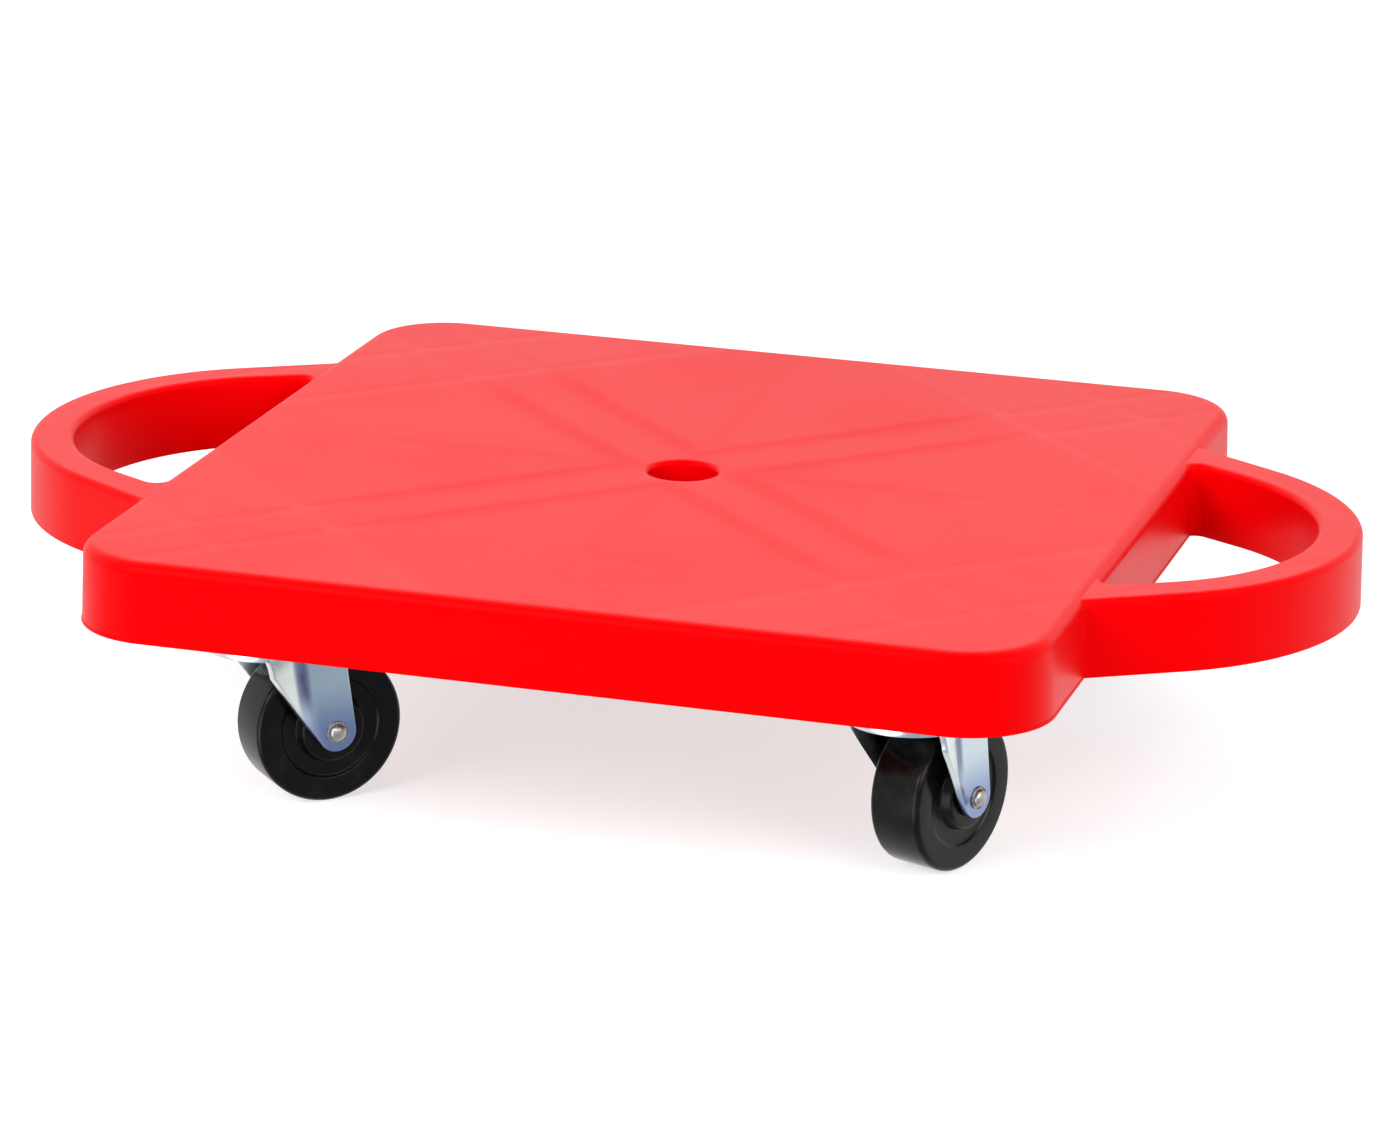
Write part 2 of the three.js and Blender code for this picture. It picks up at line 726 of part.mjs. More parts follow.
const board = new THREE.Group();
board.add(mesh('deck', deckSolid(), redPlastic));
Object.keys(trailAngles).forEach((name) => {
  board.add(fixedPieces(name));
  board.add(swivelPieces(name));
});

export default board;
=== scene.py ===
import logging
import math
from dataclasses import dataclass, field
from enum import Enum

import bmesh
import bpy
import numpy as np
from mathutils import Matrix, Vector


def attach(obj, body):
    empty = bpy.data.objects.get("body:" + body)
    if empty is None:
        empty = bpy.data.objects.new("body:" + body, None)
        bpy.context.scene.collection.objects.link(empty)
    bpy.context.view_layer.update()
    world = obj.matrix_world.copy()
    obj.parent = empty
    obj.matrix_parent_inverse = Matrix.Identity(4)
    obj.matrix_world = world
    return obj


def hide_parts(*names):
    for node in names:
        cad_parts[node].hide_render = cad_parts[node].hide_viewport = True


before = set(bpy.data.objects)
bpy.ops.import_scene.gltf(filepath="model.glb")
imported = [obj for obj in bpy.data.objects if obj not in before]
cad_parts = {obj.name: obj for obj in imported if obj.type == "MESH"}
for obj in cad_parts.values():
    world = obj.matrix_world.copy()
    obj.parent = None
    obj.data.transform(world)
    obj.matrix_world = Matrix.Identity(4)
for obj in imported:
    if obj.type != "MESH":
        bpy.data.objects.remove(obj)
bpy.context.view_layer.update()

log = logging.getLogger("scooter_board")
MM = 0.001
QUARTER = math.pi / 2
# Points closer than this, in metres, are one point
WELD = 2e-6
# Points on each rounded corner of a profile
ROUND_STEPS = 5
DECK_BODY = "deck_body"
# Place of the swivel axes from the board's middle
SWIVEL_X, SWIVEL_Y = 101, 100
# The corners of a rectangle, as signs of X and Y
CORNERS = np.array([[1, 1], [-1, 1], [-1, -1], [1, -1]])

Array = np.ndarray
Mesh = bpy.types.Mesh
Socket = bpy.types.NodeSocket
Colour = tuple[float, float, float]
# A place or a direction
Spot = tuple[float, float, float]
# Pairs such as an inset and a rise
Pairs = tuple[tuple[float, float], ...]
# Radius, height and rounding of each corner of a turned form
Profile = tuple[tuple[float, float, float], ...]


# Surfaces


def along(start: float, end: float, count: int) -> Array:
    """Evenly spaced values from start to end, both included."""
    return np.linspace(start, end, count)


def around(steps: int) -> Array:
    """The angles of the steps of one full turn."""
    return np.arange(steps) * 2 * math.pi / steps


def rays(angle: Array) -> Array:
    """Unit vectors in plan at the given angles."""
    return np.stack([np.cos(angle), np.sin(angle)], axis=1)


def turn(angle: float) -> Array:
    """The 2 by 2 matrix that turns row vectors in plan by an angle in radians."""
    c, s = math.cos(angle), math.sin(angle)
    return np.array([[c, s], [-s, c]])


def level(plan: Array, height: float) -> Array:
    """The points of a plan, all at one height."""
    return np.column_stack([plan, np.full(len(plan), height)])


def moved(points: Array, place: Matrix) -> Array:
    """Points carried by a 4 by 4 matrix."""
    table = np.array(place)
    return points @ table[:3, :3].T + table[:3, 3]


def spun(radius: Array, height: Array, steps: int) -> Array:
    """Rows of points about the Z axis: radius r and height z sweep the circle r cos a, r sin a, z."""
    angle = around(steps)
    return np.stack([radius * np.cos(angle), radius * np.sin(angle), height + 0 * angle], axis=-1)


def quarter_round(radius: float, count: int) -> Array:
    """Steps of a rounded edge as pairs of inset and rise.

    The inset is radius times one minus the cosine, the rise is radius times the sine.

    Args:
        radius: the edge's radius.
        count: how many steps.

    Returns:
        An array of count rows, from the wall to the flat.
    """
    angle = along(0, QUARTER, count)
    return np.stack([radius * (1 - np.cos(angle)), radius * np.sin(angle)], axis=1)


def raised(profile: Profile, seat: float) -> Profile:
    """A profile whose heights were counted from a seat."""
    return tuple((radius, seat + rise, cut) for radius, rise, cut in profile)


def rounded(corners: Profile) -> Array:
    """A profile with its corners rounded.

    Each corner is cut back along both of its sides by the same length, and a quadratic
    curve with the corner as its middle control point joins the two cuts.

    Args:
        corners: radius, height and cut length of each corner; a cut of zero stays sharp.

    Returns:
        Pairs of radius and height. The first and last corners are never rounded.
    """
    place = np.array(corners, dtype=float)[:, :2]
    out = [place[:1]]
    t = along(0, 1, ROUND_STEPS)[:, None]
    for before, middle, after, corner in zip(place, place[1:], place[2:], corners[1:]):
        cut = corner[2]
        if not cut:
            out.append(middle[None])
            continue
        start, end = (middle + way / np.linalg.norm(way) * min(cut, np.linalg.norm(way) / 2)
                      for way in (before - middle, after - middle))
        out.append((1 - t) ** 2 * start + 2 * t * (1 - t) * middle + t ** 2 * end)
    out.append(place[-1:])
    return np.concatenate(out)


def new_object(name: str, data: bpy.types.ID) -> bpy.types.Object:
    """Makes an object of its data and puts it in the scene."""
    made = bpy.data.objects.new(name, data)
    bpy.context.scene.collection.objects.link(made)
    return made


def settle(mesh: Mesh, sharp: float) -> Mesh:
    """Welds a mesh, turns its faces outwards and shades it smooth.

    Args:
        mesh: the mesh, in metres.
        sharp: edges that bend more than this angle, in degrees, stay sharp.

    Returns:
        The same mesh.
    """
    work = bmesh.new()
    work.from_mesh(mesh)
    bmesh.ops.remove_doubles(work, verts=work.verts, dist=WELD)
    bmesh.ops.dissolve_degenerate(work, edges=work.edges, dist=WELD / 2)
    bmesh.ops.recalc_face_normals(work, faces=work.faces)
    work.to_mesh(mesh)
    work.free()
    mesh.shade_smooth()
    mesh.set_sharp_from_angle(angle=math.radians(sharp))
    return mesh


def face_up(mesh: Mesh) -> Mesh:
    """Turns an open sheet over if its highest face looks down."""
    if max(mesh.polygons, key=lambda face: face.center.z).normal.z < 0:
        mesh.flip_normals()
    return mesh


class Skin:
    """Collects surface grids, in millimetres, and makes one mesh of them."""

    def __init__(self) -> None:
        """Starts with no surface."""
        self.points: list[Array] = []
        self.faces: list[list[int]] = []
        self.count = 0

    def grid(self, rows: Array, round_columns: bool = True, round_rows: bool = False) -> Array:
        """Adds the quads between neighbouring rows and columns of points.

        Args:
            rows: points, as rows by columns by three.
            round_columns: whether the last column joins the first.
            round_rows: whether the last row joins the first.

        Returns:
            The points' numbers, as rows by columns.
        """
        flat = rows.reshape(-1, 3)
        numbers = np.arange(self.count, self.count + len(flat)).reshape(rows.shape[:2])
        self.points.append(flat)
        self.count += len(flat)
        index = numbers
        if round_columns:
            index = np.concatenate([index, index[:, :1]], axis=1)
        if round_rows:
            index = np.concatenate([index, index[:1]], axis=0)
        quads = np.stack([index[:-1, :-1], index[:-1, 1:], index[1:, 1:], index[1:, :-1]], axis=-1)
        self.faces.extend(quads.reshape(-1, 4).tolist())
        return numbers

    def tube(self, rows: Array) -> None:
        """Adds a grid whose columns join up, with its first and last rows closed by flat ends."""
        numbers = self.grid(rows)
        self.faces.append(numbers[0][::-1].tolist())
        self.faces.append(numbers[-1].tolist())

    def lathe(self, profile: Array, steps: int, place: Matrix) -> None:
        """Adds a closed profile turned about the Z axis.

        Args:
            profile: pairs of radius and height; it starts and ends on the axis, or closes on itself.
            steps: how many steps make the full turn.
            place: where the turned form goes, as a 4 by 4 matrix in millimetres.
        """
        rows = spun(profile[:, :1], profile[:, 1:], steps)
        self.grid(moved(rows, place), round_rows=bool(profile[0, 0] > 0))

    def mesh(self, name: str, sharp: float) -> Mesh:
        """Makes the finished mesh, with edges over an angle in degrees kept sharp."""
        mesh = bpy.data.meshes.new(name)
        mesh.from_pydata((np.concatenate(self.points) * MM).tolist(), [], self.faces)
        return settle(mesh, sharp)


# Shader nodes


def rgba(colour: object) -> object:
    """A plain colour with full alpha; a socket stays as it is."""
    return (*colour, 1) if isinstance(colour, tuple) else colour


class Nodes:
    """A short way to lay out the nodes of a material or a node group."""

    def __init__(self, tree: bpy.types.NodeTree) -> None:
        """Works on one node tree."""
        self.tree = tree

    def add(self, kind: str, inputs: dict | None = None, **settings: object) -> bpy.types.Node:
        """Adds a node.

        Args:
            kind: the node's type name without the word ShaderNode.
            inputs: socket name or number to a value, or to the socket that feeds it.
            settings: plain properties of the node.

        Returns:
            The new node.
        """
        node = self.tree.nodes.new("ShaderNode" + kind)
        for key, value in settings.items():
            setattr(node, key, value)
        for key, value in (inputs or {}).items():
            if isinstance(value, Socket):
                self.tree.links.new(value, node.inputs[key])
            else:
                node.inputs[key].default_value = value
        return node

    def math(self, operation: str, *values: object) -> Socket:
        """The result of a Math node on up to three values or sockets."""
        return self.add("Math", dict(enumerate(values)), operation=operation).outputs[0]

    def times(self, first: object, second: object) -> Socket:
        """The product of two values."""
        return self.math("MULTIPLY", first, second)

    def most(self, first: object, second: object) -> Socket:
        """The larger of two values."""
        return self.math("MAXIMUM", first, second)

    def away(self, value: object, place: object) -> Socket:
        """How far a value is from a place."""
        return self.math("ABSOLUTE", self.math("SUBTRACT", value, place))

    def split(self, vector: object) -> bpy.types.bpy_prop_collection:
        """The three parts of a vector."""
        return self.add("SeparateXYZ", {0: vector}).outputs

    def ramp(self, value: object, low: float, high: float, start: float = 0, end: float = 1) -> Socket:
        """A smooth step of a value from start to end as it goes from low to high."""
        inputs = {"Value": value, "From Min": low, "From Max": high, "To Min": start, "To Max": end}
        return self.add("MapRange", inputs, interpolation_type="SMOOTHSTEP").outputs[0]

    def noise(self, vector: object, scale: object, detail: float = 3, rough: float = 0.5) -> Socket:
        """The grey value of a Noise texture."""
        inputs = {"Vector": vector, "Scale": scale, "Detail": detail, "Roughness": rough}
        return self.add("TexNoise", inputs).outputs[0]

    def mix(self, factor: object, first: object, second: object) -> Socket:
        """A colour mixed from two."""
        inputs = {"Factor": factor, 6: rgba(first), 7: rgba(second)}
        return self.add("Mix", inputs, data_type="RGBA").outputs[2]


class Effect(Enum):
    """The shared surface effects, each a shader node group."""

    GRAIN = "fine_grain"
    SCUFFS = "scuffs_and_dust"
    SINK_MARKS = "sink_marks"
    ZINC_CLOUDS = "zinc_clouds"


class EffectGroup(Nodes):
    """The node group of an effect under work."""

    def __init__(self, effect: Effect, inputs: dict[str, float], outputs: list[str]) -> None:
        """Starts the group with a Vector input.

        Args:
            effect: which effect it is.
            inputs: name and default of each number input.
            outputs: name of each number output.
        """
        super().__init__(bpy.data.node_groups.new(effect.value, "ShaderNodeTree"))
        sockets = self.tree.interface
        sockets.new_socket(name="Vector", in_out="INPUT", socket_type="NodeSocketVector")
        for name, value in inputs.items():
            socket = sockets.new_socket(name=name, in_out="INPUT", socket_type="NodeSocketFloat")
            socket.default_value = value
        for name in outputs:
            sockets.new_socket(name=name, in_out="OUTPUT", socket_type="NodeSocketFloat")
        self.given = self.tree.nodes.new("NodeGroupInput").outputs
        self.results = self.tree.nodes.new("NodeGroupOutput").inputs

    def give(self, **values: Socket) -> None:
        """Links each named output to its value."""
        for name, value in values.items():
            self.tree.links.new(value, self.results[name])


def grain_group() -> None:
    """Fine dots of spark-eroded plastic, as a height."""
    group = EffectGroup(Effect.GRAIN, {"Scale": 900.0, "Depth": 1.0}, ["Height"])
    dots = group.noise(group.given["Vector"], group.given["Scale"], 1)
    group.give(Height=group.times(dots, group.given["Depth"]))


def scuff_group() -> None:
    """Thin scratches in two directions and a soft cloud of dust, as masks from zero to one."""
    group = EffectGroup(Effect.SCUFFS, {"Scale": 60.0, "Amount": 0.5}, ["Scratches", "Dust"])
    vector, scale, amount = (group.given[name] for name in ("Vector", "Scale", "Amount"))
    lines = []
    for angle in (0.5, 2.0):
        stretch = {"Vector": vector, "Rotation": (0.3, 0.2, angle), "Scale": (1, 22, 1)}
        hills = group.noise(group.add("Mapping", stretch).outputs[0], 14.0, 2, 0.6)
        lines.append(group.ramp(group.away(hills, 0.5), 0.0, 0.012, 1, 0))
    patch = group.ramp(group.noise(vector, 18.0, 2), 0.5, 0.72)
    both = group.times(group.most(*lines), patch)
    cloud = group.ramp(group.noise(vector, scale, 5, 0.6), 0.42, 0.75)
    group.give(Scratches=group.times(both, amount), Dust=group.times(cloud, amount))


def sink_group() -> None:
    """Shallow hollows of the deck's top over its ribs, as a height of zero or less.

    A rib's line leaves a dip of one minus the smooth step of the distance to it. The ribs run along
    both diagonals in pairs, across them, and on the two axes. Dull is one along the streaks that run
    out from the middle, and Bright is one where pairs cross the corner ribs. Lengths are in metres.
    """
    inputs = {"Pair": 0.0125, "Inner": 0.1251, "Outer": 0.1646, "Width": 0.006}
    group = EffectGroup(Effect.SINK_MARKS, inputs, ["Height", "Dull", "Bright"])
    vector, pair, inner, outer, width = (group.given[name] for name in ("Vector", *inputs))
    size_x, size_y = (group.math("ABSOLUTE", part) for part in group.split(vector)[:2])
    slant = math.sqrt(0.5)
    across = group.math("ABSOLUTE", group.times(group.math("SUBTRACT", size_x, size_y), slant))
    out = group.times(group.math("ADD", size_x, size_y), slant)
    reach = group.add("VectorMath", {0: vector}, operation="LENGTH").outputs["Value"]
    streak_width = group.times(width, 1.4)

    def dip(distance: Socket, place: object, half: object) -> Socket:
        """One on the rib's line, falling to zero where the dip's half width ends."""
        return group.ramp(group.away(distance, place), 0.0, half, 1, 0)

    def axes(half: object) -> Socket:
        """The dips on the two axes."""
        return group.most(dip(size_x, 0.0, half), dip(size_y, 0.0, half))

    pairs = dip(across, pair, width)
    chords = group.most(dip(out, inner, width), dip(out, outer, width))
    total = group.most(pairs, group.most(chords, group.times(axes(width), 0.4)))
    near_pairs = group.times(dip(across, pair, streak_width), group.ramp(out, 0.095, 0.125, 1, 0))
    near_axes = group.times(axes(streak_width), group.ramp(reach, 0.11, 0.15, 1, 0))
    corner = group.times(group.ramp(out, 0.121, 0.130), 0.45)
    bright = group.most(corner, group.times(chords, 0.6))
    group.give(
        Height=group.times(total, -1.0),
        Dull=group.most(near_pairs, group.times(near_axes, 0.4)),
        Bright=group.math("ADD", bright, group.times(pairs, chords)),
    )


def zinc_group() -> None:
    """Soft clouds of a zinc film from zero to one, and the sheet's fine rolling lines as a height."""
    group = EffectGroup(Effect.ZINC_CLOUDS, {"Scale": 70.0, "Lines": 1.0}, ["Clouds", "Height"])
    vector = group.given["Vector"]
    stretched = group.add("Mapping", {"Vector": vector, "Scale": (1.0, 1.0, 0.06)}).outputs[0]
    group.give(
        Clouds=group.ramp(group.noise(vector, group.given["Scale"], 4, 0.55), 0.3, 0.7),
        Height=group.times(group.noise(stretched, 2600.0, 2), group.given["Lines"]),
    )


class Coat(Nodes):
    """A material under work: its nodes, its Principled shader and its object coordinates."""

    def __init__(self, name: str, colour: Colour, roughness: float, **sockets: object) -> None:
        """Makes the material.

        Args:
            name: the material's name.
            colour: plain base colour.
            roughness: plain roughness.
            sockets: other values of the Principled shader, with _ for spaces.
        """
        self.material = bpy.data.materials.new(name)
        self.material.use_nodes = True
        super().__init__(self.material.node_tree)
        self.shader = self.tree.nodes["Principled BSDF"]
        for key, value in {"Base_Color": rgba(colour), "Roughness": roughness, **sockets}.items():
            self.shader.inputs[key.replace("_", " ")].default_value = value
        self.vector = self.add("TexCoord").outputs["Object"]

    def effect(self, effect: Effect, **inputs: float) -> bpy.types.bpy_prop_collection:
        """Places a shared effect and returns its outputs."""
        node = self.add("Group", node_tree=bpy.data.node_groups[effect.value])
        self.tree.links.new(self.vector, node.inputs["Vector"])
        for key, value in inputs.items():
            node.inputs[key].default_value = value
        return node.outputs

    def feed(self, socket: str, value: Socket) -> None:
        """Links a value to a socket of the shader."""
        self.tree.links.new(value, self.shader.inputs[socket])

    def roughen(self, base: float, *parts: tuple[Socket, float]) -> None:
        """Feeds a roughness: a base, and the share that each mask adds to it."""
        rough: object = base
        for mask, share in parts:
            rough = self.math("MULTIPLY_ADD", mask, share, rough)
        self.feed("Roughness", rough)

    def bump(self, height: object, distance: float, strength: float = 1.0,
             under: dict | None = None) -> Socket:
        """A bump normal from a height in units of the distance, over another normal if given."""
        inputs = {"Height": height, "Distance": distance, "Strength": strength, **(under or {})}
        return self.add("Bump", inputs).outputs[0]


@dataclass(frozen=True)
class RedPlastic:
    """Moulded polypropylene of the deck: grained, with sink marks on the top over the ribs."""

    colour: Colour = (0.74, 0.0, 0.001)
    deep: Colour = (0.65, 0.0, 0.001)
    sheen: Colour = (1.0, 0.03, 0.03)
    roughness: float = 0.36
    ior: float = 1.31
    sink_depth: float = 0.00009
    grain_scale: float = 1100
    grain_depth: float = 0.00006
    grain_strength: float = 0.35
    wear_scale: float = 14
    wear: float = 0.35
    flow_scale: float = 9
    flow: float = 0.3
    rough_dust: float = 0.12
    rough_scratch: float = 0.25
    rough_streak: float = 0.07
    rough_corner: float = -0.05

    def make(self) -> bpy.types.Material:
        """Builds the material."""
        coat = Coat("red_plastic", self.colour, self.roughness, IOR=self.ior,
                    Specular_Tint=rgba(self.sheen))
        grain = coat.effect(Effect.GRAIN, Scale=self.grain_scale)
        scuffs = coat.effect(Effect.SCUFFS, Scale=self.wear_scale, Amount=self.wear)
        sink = coat.effect(Effect.SINK_MARKS)
        top = coat.ramp(coat.split(coat.add("NewGeometry").outputs["Normal"])[2], 0.9, 0.99)
        flow = coat.ramp(coat.noise(coat.vector, self.flow_scale), 0.35, 0.7)
        coat.feed("Base Color", coat.mix(coat.times(flow, self.flow), self.colour, self.deep))
        streak, corner = (coat.times(sink[name], top) for name in ("Dull", "Bright"))
        coat.roughen(self.roughness, (scuffs["Dust"], self.rough_dust),
                     (scuffs["Scratches"], self.rough_scratch), (streak, self.rough_streak),
                     (corner, self.rough_corner))
        hollow = coat.bump(coat.times(sink["Height"], top), self.sink_depth)
        under = {"Normal": hollow}
        coat.feed("Normal", coat.bump(grain["Height"], self.grain_depth, self.grain_strength, under))
        return coat.material


@dataclass(frozen=True)
class ZincSheet:
    """Bright zinc plate on pressed steel, with a blue cast and faint yellow clouds.

    On a bent sheet, painted shade darkens the bend above mid height to a dark blue-purple and the lower
    legs to a deeper blue, and a painted reflection makes the flared side paler. The mesh tells where: its
    UV map runs from 0 on the flat side over 0.5 in the bend to 1 on the flare, and its second value is the
    height.
    """

    name: str = "zinc_plate"
    blue: Colour = (0.63, 0.74, 0.79)
    # pale: the colour of the zinc's clouds, and the painted reflection on a bent sheet's flare
    pale: Colour = (0.80, 0.84, 0.82)
    # deep: painted shade, darker towards the bottom of a bent sheet's legs
    deep: Colour = (0.28, 0.36, 0.58)
    # Painted shade in the fork's bend
    painted_crease_shade: Colour = (0.12, 0.13, 0.27)
    roughness: float = 0.24
    cloud_scale: float = 26
    cloud: float = 0.45
    wear_scale: float = 80
    wear: float = 0.4
    rough_cloud: float = 0.08
    rough_scratch: float = 0.2
    rough_dust: float = 0.1
    line_depth: float = 0.00002
    line_strength: float = 0.25
    # bent: paints shade and a reflection where the mesh's UV map says
    bent: bool = False
    crease_shade_range: tuple[float, float, float, float] = (0.03, 0.25, 0, 0.9)
    crease_shade_heights: tuple[float, float] = (0.5, 0.68)
    low_shade_heights: tuple[float, float] = (0.4, 0.72)
    painted_reflection_range: tuple[float, float] = (0.6, 1)

    def make(self) -> bpy.types.Material:
        """Builds the material."""
        coat = Coat(self.name, self.blue, self.roughness, Metallic=1.0)
        zinc = coat.effect(Effect.ZINC_CLOUDS, Scale=self.cloud_scale)
        scuffs = coat.effect(Effect.SCUFFS, Scale=self.wear_scale, Amount=self.wear)
        colour = coat.mix(coat.times(zinc["Clouds"], self.cloud), self.blue, self.pale)
        if self.bent:
            flare, height = coat.split(coat.add("TexCoord").outputs["UV"])[:2]
            # Painted shade: a dark blue-purple band along the bend, above mid height
            bend = coat.times(flare, coat.math("SUBTRACT", 1.0, flare))
            bend = coat.times(coat.ramp(bend, *self.crease_shade_range), coat.ramp(height, *self.crease_shade_heights))
            # Painted shade: the legs darken towards the bottom
            colour = coat.mix(coat.ramp(height, *self.low_shade_heights), self.deep, colour)
            # Painted reflection: the flared side turns paler
            colour = coat.mix(coat.ramp(flare, *self.painted_reflection_range), colour, self.pale)
            colour = coat.mix(bend, colour, self.painted_crease_shade)
        coat.feed("Base Color", colour)
        coat.roughen(self.roughness - self.rough_cloud / 2, (zinc["Clouds"], self.rough_cloud),
                     (scuffs["Scratches"], self.rough_scratch), (scuffs["Dust"], self.rough_dust))
        coat.feed("Normal", coat.bump(zinc["Height"], self.line_depth, self.line_strength))
        return coat.material


@dataclass(frozen=True)
class BlackWheel:
    """Hard rubber of the wheels: satin, with a dusty tread."""

    colour: Colour = (0.004, 0.0038, 0.0038)
    dust: Colour = (0.05, 0.045, 0.04)
    sheen: Colour = (1.0, 0.95, 0.87)
    roughness: float = 0.2
    ior: float = 1.27
    grain_scale: float = 2200
    grain_depth: float = 0.00003
    grain_strength: float = 0.3
    wear_scale: float = 110
    wear: float = 0.7
    dusty: float = 0.15
    rough_dust: float = 0.16
    rough_scratch: float = 0.2

    def make(self) -> bpy.types.Material:
        """Builds the material."""
        coat = Coat("black_wheel", self.colour, self.roughness, IOR=self.ior,
                    Specular_Tint=rgba(self.sheen))
        scuffs = coat.effect(Effect.SCUFFS, Scale=self.wear_scale, Amount=self.wear)
        grain = coat.effect(Effect.GRAIN, Scale=self.grain_scale)
        coat.feed("Base Color", coat.mix(coat.times(scuffs["Dust"], self.dusty), self.colour, self.dust))
        coat.roughen(self.roughness, (scuffs["Dust"], self.rough_dust),
                     (scuffs["Scratches"], self.rough_scratch))
        coat.feed("Normal", coat.bump(grain["Height"], self.grain_depth, self.grain_strength))
        return coat.material


@dataclass(frozen=True)
class PlainSteel:
    """Bare steel, of a rivet or of a bearing."""

    name: str
    colour: Colour
    roughness: float
    tarnish: float = 0.55
    wear_scale: float = 240
    wear: float = 0.8
    rough_dust: float = 0.25
    pit_scale: float = 900
    pit_depth: float = 0.00005
    pit_strength: float = 0.5

    def make(self) -> bpy.types.Material:
        """Builds the material."""
        coat = Coat(self.name, self.colour, self.roughness, Metallic=1.0)
        scuffs = coat.effect(Effect.SCUFFS, Scale=self.wear_scale, Amount=self.wear)
        darker = tuple(value * self.tarnish for value in self.colour)
        coat.feed("Base Color", coat.mix(scuffs["Dust"], self.colour, darker))
        coat.roughen(self.roughness, (scuffs["Dust"], self.rough_dust))
        pits = coat.noise(coat.vector, self.pit_scale)
        coat.feed("Normal", coat.bump(pits, self.pit_depth, self.pit_strength))
        return coat.material


class Stock(Enum):
    """The finishes, each with its own material."""

    RED = "red_plastic"
    ZINC = "zinc_plate"
    # Zinc with painted shade in the fork's bend and low on its legs, and a painted reflection on its flare
    PAINTED_LIGHT_ZINC = "zinc_plate_painted_light"
    BEARING = "bearing_steel"
    RIVET = "rivet_steel"
    RUBBER = "black_wheel"

    @property
    def slot(self) -> str:
        """The record's material slot that the finish belongs to."""
        return Stock.ZINC.value if self is Stock.PAINTED_LIGHT_ZINC else self.value


def make_stock() -> dict[Stock, bpy.types.Material]:
    """Builds every shared effect and every finish once."""
    for build in (grain_group, scuff_group, sink_group, zinc_group):
        build()
    return {
        Stock.RED: RedPlastic().make(),
        Stock.ZINC: ZincSheet().make(),
        # The fork's zinc, with painted shade and a painted reflection laid out by the mesh's UV map
        Stock.PAINTED_LIGHT_ZINC: ZincSheet("zinc_plate_painted_light", bent=True).make(),
        Stock.BEARING: PlainSteel("bearing_steel", (0.42, 0.43, 0.45), 0.22).make(),
        Stock.RIVET: PlainSteel("rivet_steel", (0.50, 0.46, 0.42), 0.38).make(),
        Stock.RUBBER: BlackWheel().make(),
    }


@dataclass
class Workshop:
    """What every sub-assembly needs to hand its pieces over."""

    stock: dict[Stock, bpy.types.Material]

    def finish(self, name: str, mesh: Mesh, stock: Stock, body: str, node: str) -> bpy.types.Object:
        """Makes an object of a mesh, dresses it and ties it to the frame.

        Args:
            name: the piece's name.
            mesh: its mesh, in place.
            stock: its finish.
            body: the body that it rides on.
            node: the solid that it stands for.

        Returns:
            The new object.
        """
        piece = new_object(name, mesh)
        mesh.materials.append(self.stock[stock])
        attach(piece, body)
        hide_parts(node)
        log.info("%s: %d faces, rides on %s", name, len(mesh.polygons), body)
        return piece


# The deck


